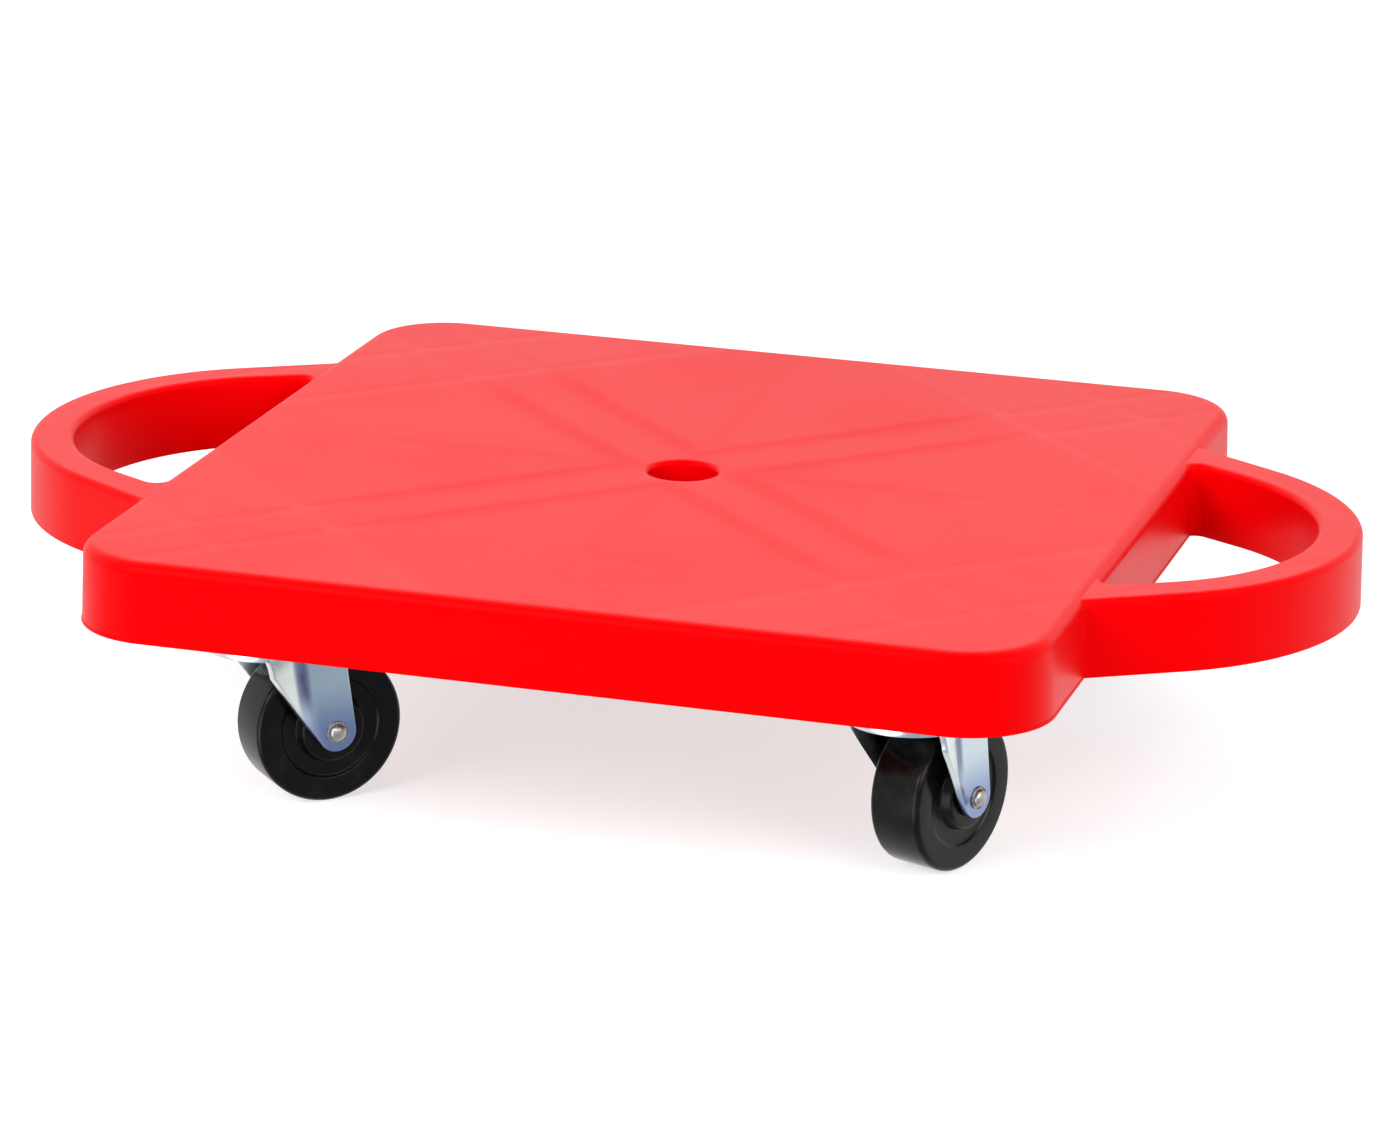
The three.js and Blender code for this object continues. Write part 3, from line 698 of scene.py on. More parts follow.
@dataclass
class Deck:
    """The moulded deck with its hand loops, ribs and bosses. Sizes in millimetres.

    Lip holds pairs of inset and height over the rim, from the rim up. Each root holds pairs of a
    distance past a wall and a depth under the skin. The rib's foot and root are half of its section:
    the distance past its face, with the height over its lower edge or over the skin's underside.
    Bites are how far the ribs run into what ends them: the pairs and the chords into the side walls,
    the middle ribs into the tube and the side walls.
    """

    width: float = 300
    base: float = 63.5
    thickness: float = 24.8
    corner: float = 27.5
    edge: float = 4
    wall: float = 3.2
    skin: float = 3.6
    draft: float = 2.1
    chamfer: float = 0.3
    lip: Pairs = ((0.25, 0), (0.07, 0.07), (0, 0.25), (0, 0.78), (0.05, 0.9), (0.25, 0.93), (0.27, 1.2))
    lip_height: float = 0.9
    lip_reach: float = 0.25
    hole: float = 11
    hole_edge: float = 1.7
    hole_wall: float = 3.2
    tube_root: Pairs = ((0.4, 1.5), (0.8, 0.5), (1.6, 0))
    wall_root: Pairs = ((1.5, 0), (0.5, 0.4), (0, 1.5))
    rib: float = 2.6
    rib_foot: Pairs = ((-0.5, 0), (-0.15, 0.15), (0, 0.5))
    rib_root: Pairs = ((0.1, -1.2), (0.4, -0.4), (1.2, 0), (1.2, 0.8))
    rib_lift: float = 0.05
    pair: float = 25
    pair_start: float = 4.8
    chords: tuple[float, float] = (125.13, 164.63)
    setback: float = 1.5
    bites: tuple[float, float, float, float] = (0.4, 0.6, 1, 0.8)
    diagonal: float = math.atan2(SWIVEL_Y, SWIVEL_X)
    boss_foot: Profile = ((0, 16, 0), (2.4, 16, 0.3), (2.4, 0.05, 0.3), (4.6, 0.05, 0.4))
    boss_root: Profile = ((4.75, -1.4, 0.6), (6, 0, 0.5), (6, 0.8, 0), (0, 0.8, 0))
    boss_steps: int = 24
    side_steps: int = 34
    corner_steps: int = 22
    wall_rows: int = 6
    edge_rows: int = 12
    top_rows: int = 40
    hole_rows: int = 8
    bore_rows: int = 5
    ceiling_rows: int = 14

    @property
    def top(self) -> float:
        """Height of the flat top above the floor."""
        return self.base + self.thickness

    @property
    def ceiling(self) -> float:
        """Height of the skin's underside."""
        return self.top - self.skin

    def outline(self) -> tuple[Array, Array]:
        """The rounded square in plan.

        Each side is a straight run of points, and each corner a quarter circle about its centre.

        Returns:
            The points, and the outward normal at each.
        """
        half = self.width / 2 - self.corner
        arc = rays(along(0, QUARTER, self.corner_steps + 1))[:-1]
        side = along(-half, half, self.side_steps + 1)[:-1]
        run = np.stack([np.full_like(side, self.width / 2), side], axis=1)
        points = np.concatenate([run, arc * self.corner + half])
        normals = np.concatenate([np.tile([1.0, 0.0], (len(side), 1)), arc])
        spins = [turn(quarter * QUARTER) for quarter in range(4)]
        return (np.concatenate([points @ spin for spin in spins]),
                np.concatenate([normals @ spin for spin in spins]))

    def shell_rows(self) -> Array:
        """The whole shell as one closed grid.

        A row is the outline drawn in by an inset, or a circle about the hole, at one height.
        The rows run up the outer wall, over the edge, across the top to the hole, down the bore,
        up the outside of its tube, across under the skin, down the inner wall and back out
        along the rim.
        """
        points, normals = self.outline()
        circle = rays(np.arctan2(points[:, 1], points[:, 0]))
        slope = math.tan(math.radians(self.draft))
        taper = self.thickness * slope
        base, top, ceiling, chamfer = self.base, self.top, self.ceiling, self.chamfer
        rows: list[Array] = []

        def insets(pairs: Pairs) -> None:
            """Adds the outline drawn in by each inset, at each height."""
            rows.extend(level(points - normals * depth, height) for depth, height in pairs)

        def circles(pairs: Pairs) -> None:
            """Adds a circle of each radius, at each height."""
            rows.extend(level(circle * radius, height) for radius, height in pairs)

        def across(start: Array, end: Array, shares: Array, height: float) -> None:
            """Adds rows that go from one plan to another at one height."""
            rows.extend(level(start + (end - start) * share, height) for share in shares)

        insets([(depth, base + rise) for depth, rise in self.lip])
        wall_base, wall_rise = base + self.lip_height, self.thickness - self.edge - self.lip_height
        insets([(self.lip_reach + (taper - self.lip_reach) * share, wall_base + wall_rise * share)
                for share in along(0.05, 1, self.wall_rows)])
        insets([(taper + step, top - self.edge + rise)
                for step, rise in quarter_round(self.edge, self.edge_rows)[1:]])
        # Closer together where the flat begins
        shares = np.concatenate([[0.004, 0.02], along(0.05, 0.98, self.top_rows), [1.0]])
        across(points - normals * (taper + self.edge), circle * (self.hole + self.hole_edge), shares, top)
        circles([(self.hole + step, top - self.hole_edge + rise)
                 for step, rise in quarter_round(self.hole_edge, self.hole_rows)[-2::-1]])
        circles([(self.hole, height)
                 for height in along(top - self.hole_edge - chamfer, base + chamfer, self.bore_rows)])
        tube = self.hole + self.hole_wall
        circles([(self.hole + chamfer, base), (tube - chamfer, base), (tube, base + chamfer)])
        circles([(tube + reach, ceiling - drop) for reach, drop in self.tube_root])
        high = self.wall + (ceiling - base) * slope
        inner = points - normals * (high + self.wall_root[0][0])
        across(circle * (tube + self.tube_root[-1][0]), inner, along(0.05, 1, self.ceiling_rows), ceiling)
        insets([(high + reach, ceiling - drop) for reach, drop in self.wall_root[1:]])
        insets([(self.wall, base + chamfer), (self.wall - chamfer, base)])
        return np.stack(rows)

    def rib_bar(self, skin: Skin, ends: Array, low: float) -> None:
        """Adds one rib.

        Its section is a wall with a round foot at the bottom and a small flare under the skin,
        carried straight from end to end.

        Args:
            skin: where it goes.
            ends: its two ends in plan.
            low: the height of its lower edge.
        """
        side = [(reach, low + rise) for reach, rise in self.rib_foot]
        side += [(reach, self.ceiling + rise) for reach, rise in self.rib_root]
        face = np.array(side) + [self.rib / 2, 0]
        section = np.concatenate([face, face[::-1] * [-1, 1]])
        x, y = (ends[1] - ends[0]) / np.linalg.norm(ends[1] - ends[0])
        normal = np.array([-y, x])
        skin.tube(np.stack([np.column_stack([end + section[:, :1] * normal, section[:, 1]])
                            for end in ends]))

    def ribs(self, skin: Skin) -> None:
        """Adds the rib pairs on both diagonals, the ribs across them and the middle ribs."""
        pair_bite, chord_bite, tube_bite, side_bite = self.bites
        centre = (self.width / 2 - self.corner) * math.sqrt(2)
        offset = self.pair / 2
        reach = centre + math.sqrt((self.corner - self.wall) ** 2 - offset ** 2) + pair_bite
        side = self.width / 2 - self.wall
        low = self.base + self.rib_lift
        pair = np.array([[self.pair_start, offset], [reach, offset]])
        for angle in (self.diagonal, -self.diagonal):
            for signs in CORNERS:
                self.rib_bar(skin, pair * signs @ turn(angle), low)
        for angle in (self.diagonal, -self.diagonal, math.pi - self.diagonal, math.pi + self.diagonal):
            for distance in self.chords:
                half = side * math.sqrt(2) - distance + chord_bite
                self.rib_bar(skin, np.array([[distance, -half], [distance, half]]) @ turn(angle), low)
        middle = np.array([[self.hole + self.hole_wall - tube_bite, 0], [side + side_bite, 0]])
        for quarter in range(4):
            self.rib_bar(skin, middle @ turn(quarter * QUARTER), self.base + self.setback)

    def bosses(self, skin: Skin, places: Array) -> None:
        """Adds the screw bosses.

        Args:
            skin: where they go.
            places: the middle of each boss in plan.
        """
        profile = rounded(raised(self.boss_foot, self.base) + raised(self.boss_root, self.ceiling))
        for place in places:
            skin.lathe(profile, self.boss_steps, Matrix.Translation((*place, 0)))


@dataclass
class HandLoop:
    """One hand loop, moulded in one piece with the deck. Sizes in millimetres.

    The foot holds pairs of depth into the bar and height over the rim, and the channel pairs of
    depth past the wall and height under the channel's ceiling.
    """

    deck: Deck
    outer: float = 81.2
    inner: float = 67.3
    inset: float = 15.9
    outer_arc: float = 58.7
    inner_arc: float = 61.5
    height: float = 24
    edge: float = 2.2
    root: float = 4
    root_inset: float = 1.6
    root_sunk: float = 1.4
    outer_draft: float = 1.2
    inner_draft: float = -1.2
    chamfer: float = 0.25
    foot: Pairs = ((0.25, 0), (0.07, 0.07), (0, 0.25))
    foot_top: tuple[float, float] = (0.02, 0.8)
    channel: Pairs = ((0.1, 1), (1, 0))
    rib_gap: float = 1.2
    rib_bite: float = 0.8
    rib_angles: tuple[float, ...] = (-48, -24, 0, 24, 48)
    root_steps: int = 10
    leg_steps: int = 8
    arc_steps: int = 72
    wall_rows: int = 5
    edge_rows: int = 9
    top_shares: tuple[float, ...] = (0.04, 0.25, 0.5, 0.75, 0.96)

    def rail(self, radius: float, arc: float, side: int) -> tuple[Array, Array]:
        """One side of the bar in plan, from one root to the other.

        A quarter-round root on the deck's wall, a straight leg at a tangent, the arc about the
        loop's centre, and the same again mirrored.

        Args:
            radius: the arc's radius.
            arc: half of the arc's angle, in degrees.
            side: 1 for the outer side, -1 for the inner one.

        Returns:
            The points, and at each the direction into the bar.
        """
        slope = math.radians(arc)
        normal = np.array([math.cos(slope), math.sin(slope)])
        x = self.inset - self.root_inset + self.root
        y = (radius + side * self.root - x * normal[0]) / normal[1]
        out = rays(along(math.pi, slope + (math.pi if side > 0 else 0), self.root_steps))
        root = np.array([x, y]) + self.root * out
        share = along(0, 1, self.leg_steps + 2)[1:-1, None]
        leg = root[-1] + (radius * normal - root[-1]) * share
        ray = rays(along(slope, -slope, self.arc_steps))
        flip = np.array([1.0, -1.0])
        half = np.concatenate([root, leg])
        half_in = np.concatenate([out, np.tile(-side * normal, (len(leg), 1))])
        points = np.concatenate([half, radius * ray, half[::-1] * flip])
        inward = np.concatenate([half_in, -side * ray, half_in[::-1] * flip])
        sunk = [self.root_sunk, 0]
        points = np.concatenate([points[:1] - sunk, points, points[-1:] - sunk])
        return points, np.concatenate([inward[:1], inward, inward[-1:]])

    def bar_rows(self) -> Array:
        """The bar as a grid: rows along it, columns round its section.

        A section runs up the outer side, over a rounded edge, across the top, over the other edge,
        down the inner side, and back through the open channel underneath.
        """
        outer, outer_in = self.rail(self.outer, self.outer_arc, 1)
        inner, inner_in = self.rail(self.inner, self.inner_arc, -1)
        base, wall = self.deck.base, self.deck.wall
        rise, roof = self.height - self.edge, self.height - self.deck.skin
        outer_taper, inner_taper = (rise * math.tan(math.radians(draft))
                                    for draft in (self.outer_draft, self.inner_draft))
        columns: list[Array] = []

        def lay(plan: Array, inward: Array, pairs: Pairs) -> None:
            """Adds lines of points along the bar, each at a depth into it and a height."""
            columns.extend(level(plan + inward * depth, base + height) for depth, height in pairs)

        edge = quarter_round(self.edge, self.edge_rows)
        lay(outer, outer_in, [*self.foot, self.foot_top])
        lay(outer, outer_in, [(outer_taper * share, rise * share)
                              for share in along(0.1, 1, self.wall_rows)])
        lay(outer, outer_in, edge[1:] + [outer_taper, rise])
        near = outer + outer_in * (outer_taper + self.edge)
        far = inner + inner_in * (inner_taper + self.edge)
        for share in self.top_shares:
            lay(near + (far - near) * share, inner_in, [(0, self.height)])
        lay(inner, inner_in, edge[::-1] + [inner_taper, rise])
        lay(inner, inner_in, [(inner_taper * share, rise * share)
                              for share in along(0.9, 0.1, self.wall_rows)])
        channel = [(wall - self.chamfer, 0), (wall, self.chamfer)]
        channel += [(wall + reach, roof - drop) for reach, drop in self.channel]
        lay(inner, inner_in, [*self.foot[::-1], *channel])
        lay(outer, outer_in, channel[::-1])
        return np.stack(columns, axis=1)

    def build(self, skin: Skin, side: int) -> None:
        """Adds the loop on one side of the deck.

        Args:
            skin: where it goes.
            side: 1 for the right, -1 for the left.
        """
        deck = self.deck
        place = Matrix.Translation((deck.width / 2 - self.inset, 0, 0))
        if side < 0:
            place = Matrix.Rotation(math.pi, 4, "Z") @ place
        skin.tube(moved(self.bar_rows(), place))
        half = (self.outer - self.inner) / 2 - self.rib_gap
        box = CORNERS * [half, deck.rib / 2]
        low, high = deck.base + deck.setback, deck.base + self.height - deck.skin + self.rib_bite
        middle = Matrix.Translation(((self.outer + self.inner) / 2, 0, 0))
        for angle in self.rib_angles:
            spot = Matrix.Rotation(math.radians(angle), 4, "Z") @ middle
            skin.tube(moved(np.stack([level(box, low), level(box, high)]), place @ spot))


# The casters


@dataclass
class Caster:
    """One swivel caster. Sizes in millimetres, with the swivel axis as its own Z axis.

    The profiles are tables of radius, height over a seat, and rounding: the hub over its end, the
    web over the wheel's face, the heads over what they press on, and the race over its lower edge.
    The crown's rows are those of its wall, its bend and its top, the leg's those of its round end,
    its straight part and its curve to the crown.
    """

    name: str
    x: float
    y: float
    trail: float
    shop: Workshop
    gap: float = 0.3
    wheel_radius: float = 24
    wheel_width: float = 17.6
    wheel_shoulder: float = 1.8
    shoulder_steps: int = 12
    hub_length: float = 22.8
    hub: Profile = ((4.2, 0, 0.2), (10, 0, 0.7))
    web: Profile = ((11.2, -0.9, 0.5), (15.7, -0.75, 0.3), (16.4, -0.05, 0.3))
    axle_offset: float = 17
    axle_head: Profile = ((2.8, 0, 0), (3.5, 0, 0.1), (3.5, 0.5, 0.1), (3.3, 0.55, 0.08), (3.2, 0.08, 0.06),
                          (2.72, 0.08, 0.06), (2.6, 1.2, 0.5), (1.4, 1.9, 0.7), (0, 2, 0))
    axle_seat_gap: float = 0.05
    sleeve: tuple[float, float] = (3.1, 3.9)
    sheet: float = 1.8
    sheet_edge: float = 0.25
    edge_angle: float = 50
    crown: float = 19.8
    crown_edge: float = 51
    crown_top: float = 57.3
    crown_bend: float = 3.1
    crown_rear: float = 17.3
    crown_hole: float = 4.3
    groove: tuple[float, float, float] = (9.66, 1.9, 0.75)
    outer_half: float = 13.9
    leg_end: float = 6.2
    knee: tuple[float, float] = (-5.7, 45.5)
    heel: tuple[float, float] = (20.6, 43)
    flare_heights: tuple[float, ...] = (15.8, 45, 51)
    flare_angles: tuple[float, ...] = (32, 22.5, 17)
    flare_places: tuple[float, ...] = (12.2, 5.3, 6.4)
    flare_bend: float = 10
    crease: float = 4.8
    crease_lean: float = 0.13
    crease_reach: float = 3.6
    columns: int = 30
    front_steps: int = 64
    back_steps: int = 22
    crown_rows: tuple[int, int, int] = (4, 8, 34)
    leg_counts: tuple[int, int, int] = (13, 26, 16)
    end_share: float = 0.98
    plate: tuple[float, float, float] = (65, 47.6, 2)
    plate_low: float = 61.2
    plate_corner: float = 5
    plate_edge: float = 0.2
    plate_hole: float = 4.5
    plate_steps: tuple[int, int] = (10, 32)
    slot: tuple[float, float] = (2.8, 1.2)
    kingpin_low: float = 52.9
    kingpin_foot: Profile = ((0, -1.9, 0), (3.4, -1.75, 1), (6, -1, 0.8), (6.8, 0, 0.3), (4, 0, 0.2))
    kingpin_head: Profile = ((4, 0, 0.2), (7.2, 0, 0.3), (6.1, 1.1, 0.8), (3.6, 1.75, 1), (0, 1.9, 0))
    race_low: float = 53.7
    race: Profile = ((4.3, 0.4, 0), (4.3, 0, 0.2), (9.6, 0.6, 0.3), (9.6, 1.5, 0.3), (7.55, 1.5, 0.2),
                     (6.95, 0.9, 0.2), (4.3, 0.9, 0.2), (4.3, 0.4, 0))
    ball: float = 2.5
    ball_overlap: float = 0.2
    balls: int = 12
    ball_steps: tuple[int, int] = (15, 22)
    screws: tuple[float, float] = (47.6, 31.8)
    screw_head: float = 3.9
    screw_rim: float = 0.5
    screw_dome: float = 1.7
    screw_flat: float = 0.05
    screw_steps: int = 48
    dome_power: float = 2.4
    arm_power: float = 6
    screw_shares: tuple[float, ...] = (1, 0.97, 0.9, 0.78, 0.62, 0.5, 0.4, 0.3, 0.2, 0.1, 0)
    recess: tuple[float, float, float, float] = (0.5, 1.7, 1.3, 1.3)
    shank: Pairs = ((3.9, 0), (2, 0), (2, 12.5), (0, 15.3))
    skirt_end: float = field(init=False, default=0)

    def __post_init__(self) -> None:
        """Finds where the flared side meets the round crown."""
        flare = math.radians(self.flare_angles[-1])
        distance = self.flare_places[-1] * math.sin(flare) + self.outer_half * math.cos(flare)
        self.skirt_end = self.crown * math.cos(QUARTER - flare + math.acos(distance / self.crown))

    # Places

    @property
    def plate_turn(self) -> float:
        """Direction of the plate's long side, along the deck's diagonal."""
        return math.atan2(self.y, self.x)

    def fixed(self) -> Matrix:
        """Place of the pieces that stay with the deck."""
        return Matrix.Translation((self.x, self.y, 0)) @ Matrix.Rotation(self.plate_turn, 4, "Z")

    def swivelled(self) -> Matrix:
        """Place of the pieces that swivel."""
        return Matrix.Translation((self.x, self.y, 0)) @ Matrix.Rotation(math.radians(self.trail), 4, "Z")

    def axle_line(self) -> Matrix:
        """Place of the pieces that are turned about the axle."""
        spot = Matrix.Translation((self.axle_offset, 0, self.wheel_radius))
        return self.swivelled() @ spot @ Matrix.Rotation(QUARTER, 4, "X")

    def screw_places(self) -> Array:
        """The middle of each screw in plan, in the deck's frame."""
        return CORNERS * self.screws / 2 @ turn(self.plate_turn) + [self.x, self.y]

    # Handing over

    def hand(self, piece: str, mesh: Mesh, stock: Stock, node: str, body: str = "") -> bpy.types.Object:
        """Hands over a piece.

        Args:
            piece: its name within the caster.
            mesh: its mesh.
            stock: its finish.
            node: the name of its solid within the caster.
            body: the name of its body within the caster; none for the deck's.

        Returns:
            The new object.
        """
        rides = f"{self.name}_{body}" if body else DECK_BODY
        return self.shop.finish(f"{self.name}_{piece}", mesh, stock, rides, f"{self.name}_{node}")

    def lathed(self, piece: str, profile: Array, place: Matrix, steps: int, sharp: float) -> Mesh:
        """The mesh of a turned piece.

        Args:
            piece: its name within the caster.
            profile: pairs of radius and height.
            place: where it goes.
            steps: how many steps make the full turn.
            sharp: edges that bend more than this angle, in degrees, stay sharp.

        Returns:
            The mesh.
        """
        skin = Skin()
        skin.lathe(profile, steps, place)
        return skin.mesh(f"{self.name}_{piece}", sharp)

    # The fork

    def bend_at(self, z: Array) -> tuple[Array, Array, Array]:
        """The flare's slope, half of its bend's length along X, and the bend's middle, at each height."""
        angle = np.radians(np.interp(z, self.flare_heights, self.flare_angles))
        half_bend = self.flare_bend * np.tan(angle / 2)
        return np.tan(angle), half_bend, np.interp(z, self.flare_heights, self.flare_places)

    def side_height(self, x: Array, z: Array) -> Array:
        """Distance of the leg's outer face from the middle plane.

        Behind the bend the face is parallel to the middle plane. Ahead of it the face leans out
        by the flare's angle, and a round bend joins the two: within the bend the distance grows
        with the square of the way in. Angle and place of the bend change with the height.
        """
        slope, half_bend, place = self.bend_at(z)
        ahead = place - x
        blend = (ahead + half_bend) ** 2 / (4 * half_bend) * slope
        lean = np.where(ahead < -half_bend, 0, np.where(ahead > half_bend, ahead * slope, blend))
        return self.outer_half + lean

    def leg_edge(self, z: Array, corner: tuple[float, float], crown_x: float, side: int) -> Array:
        """Place of the leg's front or rear edge at each height.

        The edge is a round end about the axle, a straight line that touches it and runs to the
        corner, and a curve from there to the crown. The curve's way along X goes with one minus the
        root of the height that is left, and at the rear with the square of that.

        Args:
            z: the heights.
            corner: place and height of the corner.
            crown_x: place of the edge at the crown.
            side: 1 for the front edge, -1 for the rear one.

        Returns:
            The places along X.
        """
        x, top = corner
        away_x, away_z = x - self.axle_offset, top - self.wheel_radius
        angle = math.atan2(away_z, away_x) + side * math.acos(self.leg_end / math.hypot(away_x, away_z))
        foot_x = self.axle_offset + self.leg_end * math.cos(angle)
        foot_z = self.wheel_radius + self.leg_end * math.sin(angle)
        line = foot_x + (x - foot_x) * (z - foot_z) / (top - foot_z)
        share = 1 - np.sqrt(np.clip((self.crown_edge - z) / (self.crown_edge - top), 0, 1))
        curve = x + (crown_x - x) * (share if side > 0 else share ** 2)
        drop = np.clip(self.wheel_radius - z, -self.leg_end, self.leg_end)
        round_end = self.axle_offset - side * np.sqrt(np.maximum(self.leg_end ** 2 - drop ** 2, 0))
        return np.where(z > top, curve, np.where(z > foot_z, line, round_end))

    def leg_rows(self) -> Array:
        """One leg below the crown's edge, on the +Y side.

        At each height the columns run from the front edge to the rear edge, and the face stands
        at its distance from the middle plane.
        """
        end, middle, curve = self.leg_counts
        round_z = self.wheel_radius - self.leg_end * np.cos(along(0, QUARTER * self.end_share, end))
        straight = along(round_z[-1], self.knee[1], middle)[1:]
        upper = self.crown_edge - (self.crown_edge - self.knee[1]) * along(1, 0, curve)[1:] ** 2
        z = np.concatenate([round_z, straight, upper])[::-1, None]
        share = along(0, 1, self.columns)
        front = self.leg_edge(z, self.knee, self.skirt_end, 1)
        x = front * (1 - share) + self.leg_edge(z, self.heel, self.crown_rear, -1) * share
        grid_z = z + 0 * x
        return np.stack([x, self.side_height(x, grid_z), grid_z], axis=-1)

    def crown_plan(self) -> tuple[Array, Array]:
        """The crown's wall in plan, from the rear of one leg round the front to the other.

        Returns:
            The points, and the outward normal at each.
        """
        share = along(1, 0, self.columns)
        x = self.skirt_end * (1 - share) + self.crown_rear * share
        side = np.stack([x, self.side_height(x, np.full_like(x, self.crown_edge))], axis=1)
        start = math.atan2(side[-1, 1], side[-1, 0])
        front = math.hypot(*side[-1]) * rays(along(start, 2 * math.pi - start, self.front_steps)[1:-1])
        points = np.concatenate([side, front, side[::-1] * [1, -1]])
        tangent = np.gradient(points, axis=0)
        normal = np.stack([tangent[:, 1], -tangent[:, 0]], axis=1)
        return points, normal / np.linalg.norm(normal, axis=1, keepdims=True)

    def fork(self) -> Mesh:
        """The pressed fork as an open sheet, later given its thickness.

        The crown's wall rises from its edge, bends inwards by a quarter round and runs flat to the
        kingpin's hole, dipped round the ball race. The legs hang from the wall on both sides.
        """
        plan, normal = self.crown_plan()
        shoulder = self.crown_top - self.crown_bend
        upright, bent, flat_rows = self.crown_rows
        wall = [level(plan, z) for z in along(self.crown_edge, shoulder, upright)]
        wall += [level(plan - normal * step, shoulder + rise)
                 for step, rise in quarter_round(self.crown_bend, bent)[1:]]
        rim = wall[-1][:, :2]
        back_y = along(-rim[0, 1], rim[0, 1], self.back_steps)[1:-1]
        loop = np.concatenate([rim, np.stack([np.full_like(back_y, self.crown_rear), back_y], axis=1)])
        hole = self.crown_hole * rays(np.arctan2(loop[:, 1], loop[:, 0]))
        middle, reach, depth = self.groove
        disc = [level(loop, self.crown_top)]
        for share in along(0, 1, flat_rows)[1:]:
            flat = loop + (hole - loop) * share
            dip = depth * np.exp(-((np.hypot(flat[:, 0], flat[:, 1]) - middle) / reach) ** 2)
            disc.append(np.column_stack([flat, self.crown_top - dip]))
        leg = self.leg_rows()
        skin = Skin()
        for rows, closed in ((wall, False), (disc, True), (leg, False), (leg * [1, -1, 1], False)):
            skin.grid(moved(np.stack(rows), self.swivelled()), closed)
        mesh = face_up(skin.mesh(self.name + "_fork_pressing", sharp=40))
        self.map_bend(mesh)
        return mesh

    def map_bend(self, mesh: Mesh) -> None:
        """Writes how far each point is across the leg's bend, and its height, to the mesh's UV map.

        In the fork's own frame the first value grows from 0 to 1 as x falls from one end of the bend
        to the other, and the crown's round front counts as flared. The second is the height over
        that of the crown.
        """
        points = np.empty(len(mesh.vertices) * 3)
        mesh.vertices.foreach_get("co", points)
        x, _, z = moved(points.reshape(-1, 3) / MM, self.swivelled().inverted()).T
        crease = self.crease + self.crease_lean * (self.knee[1] - z)
        flare = np.clip((crease + self.crease_reach - x) / (2 * self.crease_reach), 0, 1)
        corner = np.empty(len(mesh.loops), dtype=np.int32)
        mesh.loops.foreach_get("vertex_index", corner)
        # This map places the zinc's painted shade and painted reflection
        layer = mesh.uv_layers.new(name="bend")
        layer.data.foreach_set("uv", np.stack([flare, z / self.crown_top], axis=1)[corner].ravel())

    def build_fork(self) -> None:
        """Hands over the fork, with its sheet's thickness and softened edges."""
        piece = self.hand("fork_pressing", self.fork(), Stock.PAINTED_LIGHT_ZINC, "fork", "swivel_body")
        wall = piece.modifiers.new("sheet", "SOLIDIFY")
        wall.thickness = self.sheet * MM
        wall.offset = -1
        soft = piece.modifiers.new("edges", "BEVEL")
        soft.width = self.sheet_edge * MM
        soft.segments = 2
        soft.limit_method = "ANGLE"
        soft.angle_limit = math.radians(self.edge_angle)

    # Round pieces

    def build_wheel(self) -> None:
        """Hands over the wheel: a tread with rounded shoulders, a recessed web and a hub."""
        radius, face, shoulder = self.wheel_radius, self.wheel_width / 2, self.wheel_shoulder
        bend = [(radius - shoulder + shoulder * math.sin(a), face - shoulder + shoulder * math.cos(a), 0)
                for a in along(0, QUARTER, self.shoulder_steps)]
        half = (*raised(self.hub, self.hub_length / 2), *raised(self.web, face), *bend)
        profile = rounded(((self.hub[0][0], 0, 0), *half, (radius, 0, 0)))
        profile = np.concatenate([profile, profile[-2:0:-1] * [1, -1]])
        mesh = self.lathed("wheel_turned", profile, self.axle_line(), steps=128, sharp=32)
        self.hand("wheel_turned", mesh, Stock.RUBBER, "wheel", "wheel_body")

    def build_axle(self) -> None:
        """Hands over the axle rivet, peened at both ends in a shallow ring."""
        head = raised(self.axle_head, self.outer_half + self.axle_seat_gap)
        upper = rounded(((head[0][0], 0, 0), *head))
        profile = np.concatenate([upper[:0:-1] * [1, -1], upper])
        mesh = self.lathed("axle_rivet", profile, self.axle_line(), steps=48, sharp=40)
        self.hand("axle_rivet", mesh, Stock.RIVET, "axle", "swivel_body")

    def build_sleeve(self) -> None:
        """Hands over the sleeve that the wheel turns on."""
        bore, radius = self.sleeve
        half = self.outer_half - self.sheet - self.gap
        corners = ((bore, 0, 0), (bore, half, 0.15), (radius, half, 0.2), (radius, -half, 0.2),
                   (bore, -half, 0.15), (bore, 0, 0))
        mesh = self.lathed("sleeve", rounded(corners)[:-1], self.axle_line(), steps=40, sharp=35)
        self.hand("sleeve", mesh, Stock.BEARING, "axle_sleeve", "swivel_body")

    def build_kingpin(self) -> None:
        """Hands over the kingpin with its two peened heads."""
        high = self.plate_low + self.plate[2] + self.gap
        profile = rounded(raised(self.kingpin_foot, self.kingpin_low) + raised(self.kingpin_head, high))
        mesh = self.lathed("kingpin_rivet", profile, self.fixed(), steps=48, sharp=40)
        self.hand("kingpin_rivet", mesh, Stock.ZINC, "kingpin")

    def build_race(self) -> None:
        """Hands over the dished lower race under the crown."""
        profile = rounded(raised(self.race, self.race_low))[:-1]
        mesh = self.lathed("race", profile, self.fixed(), steps=48, sharp=35)
        self.hand("race", mesh, Stock.BEARING, "lower_race")

    def build_balls(self) -> None:
        """Hands over the full row of balls: spheres on a circle, each touching the next."""
        ring = (2 * self.ball - self.ball_overlap) / (2 * math.sin(math.pi / self.balls))
        height = (self.crown_top + self.plate_low) / 2
        rows, steps = self.ball_steps
        profile = self.ball * rays(along(-QUARTER, QUARTER, rows))
        profile[:, 0] = np.abs(profile[:, 0]).round(9)
        skin = Skin()
        for spot in ring * rays(around(self.balls)):
            skin.lathe(profile, steps, self.fixed() @ Matrix.Translation((*spot, height)))
        self.hand("balls", skin.mesh(self.name + "_balls", sharp=60), Stock.BEARING, "ball_row")

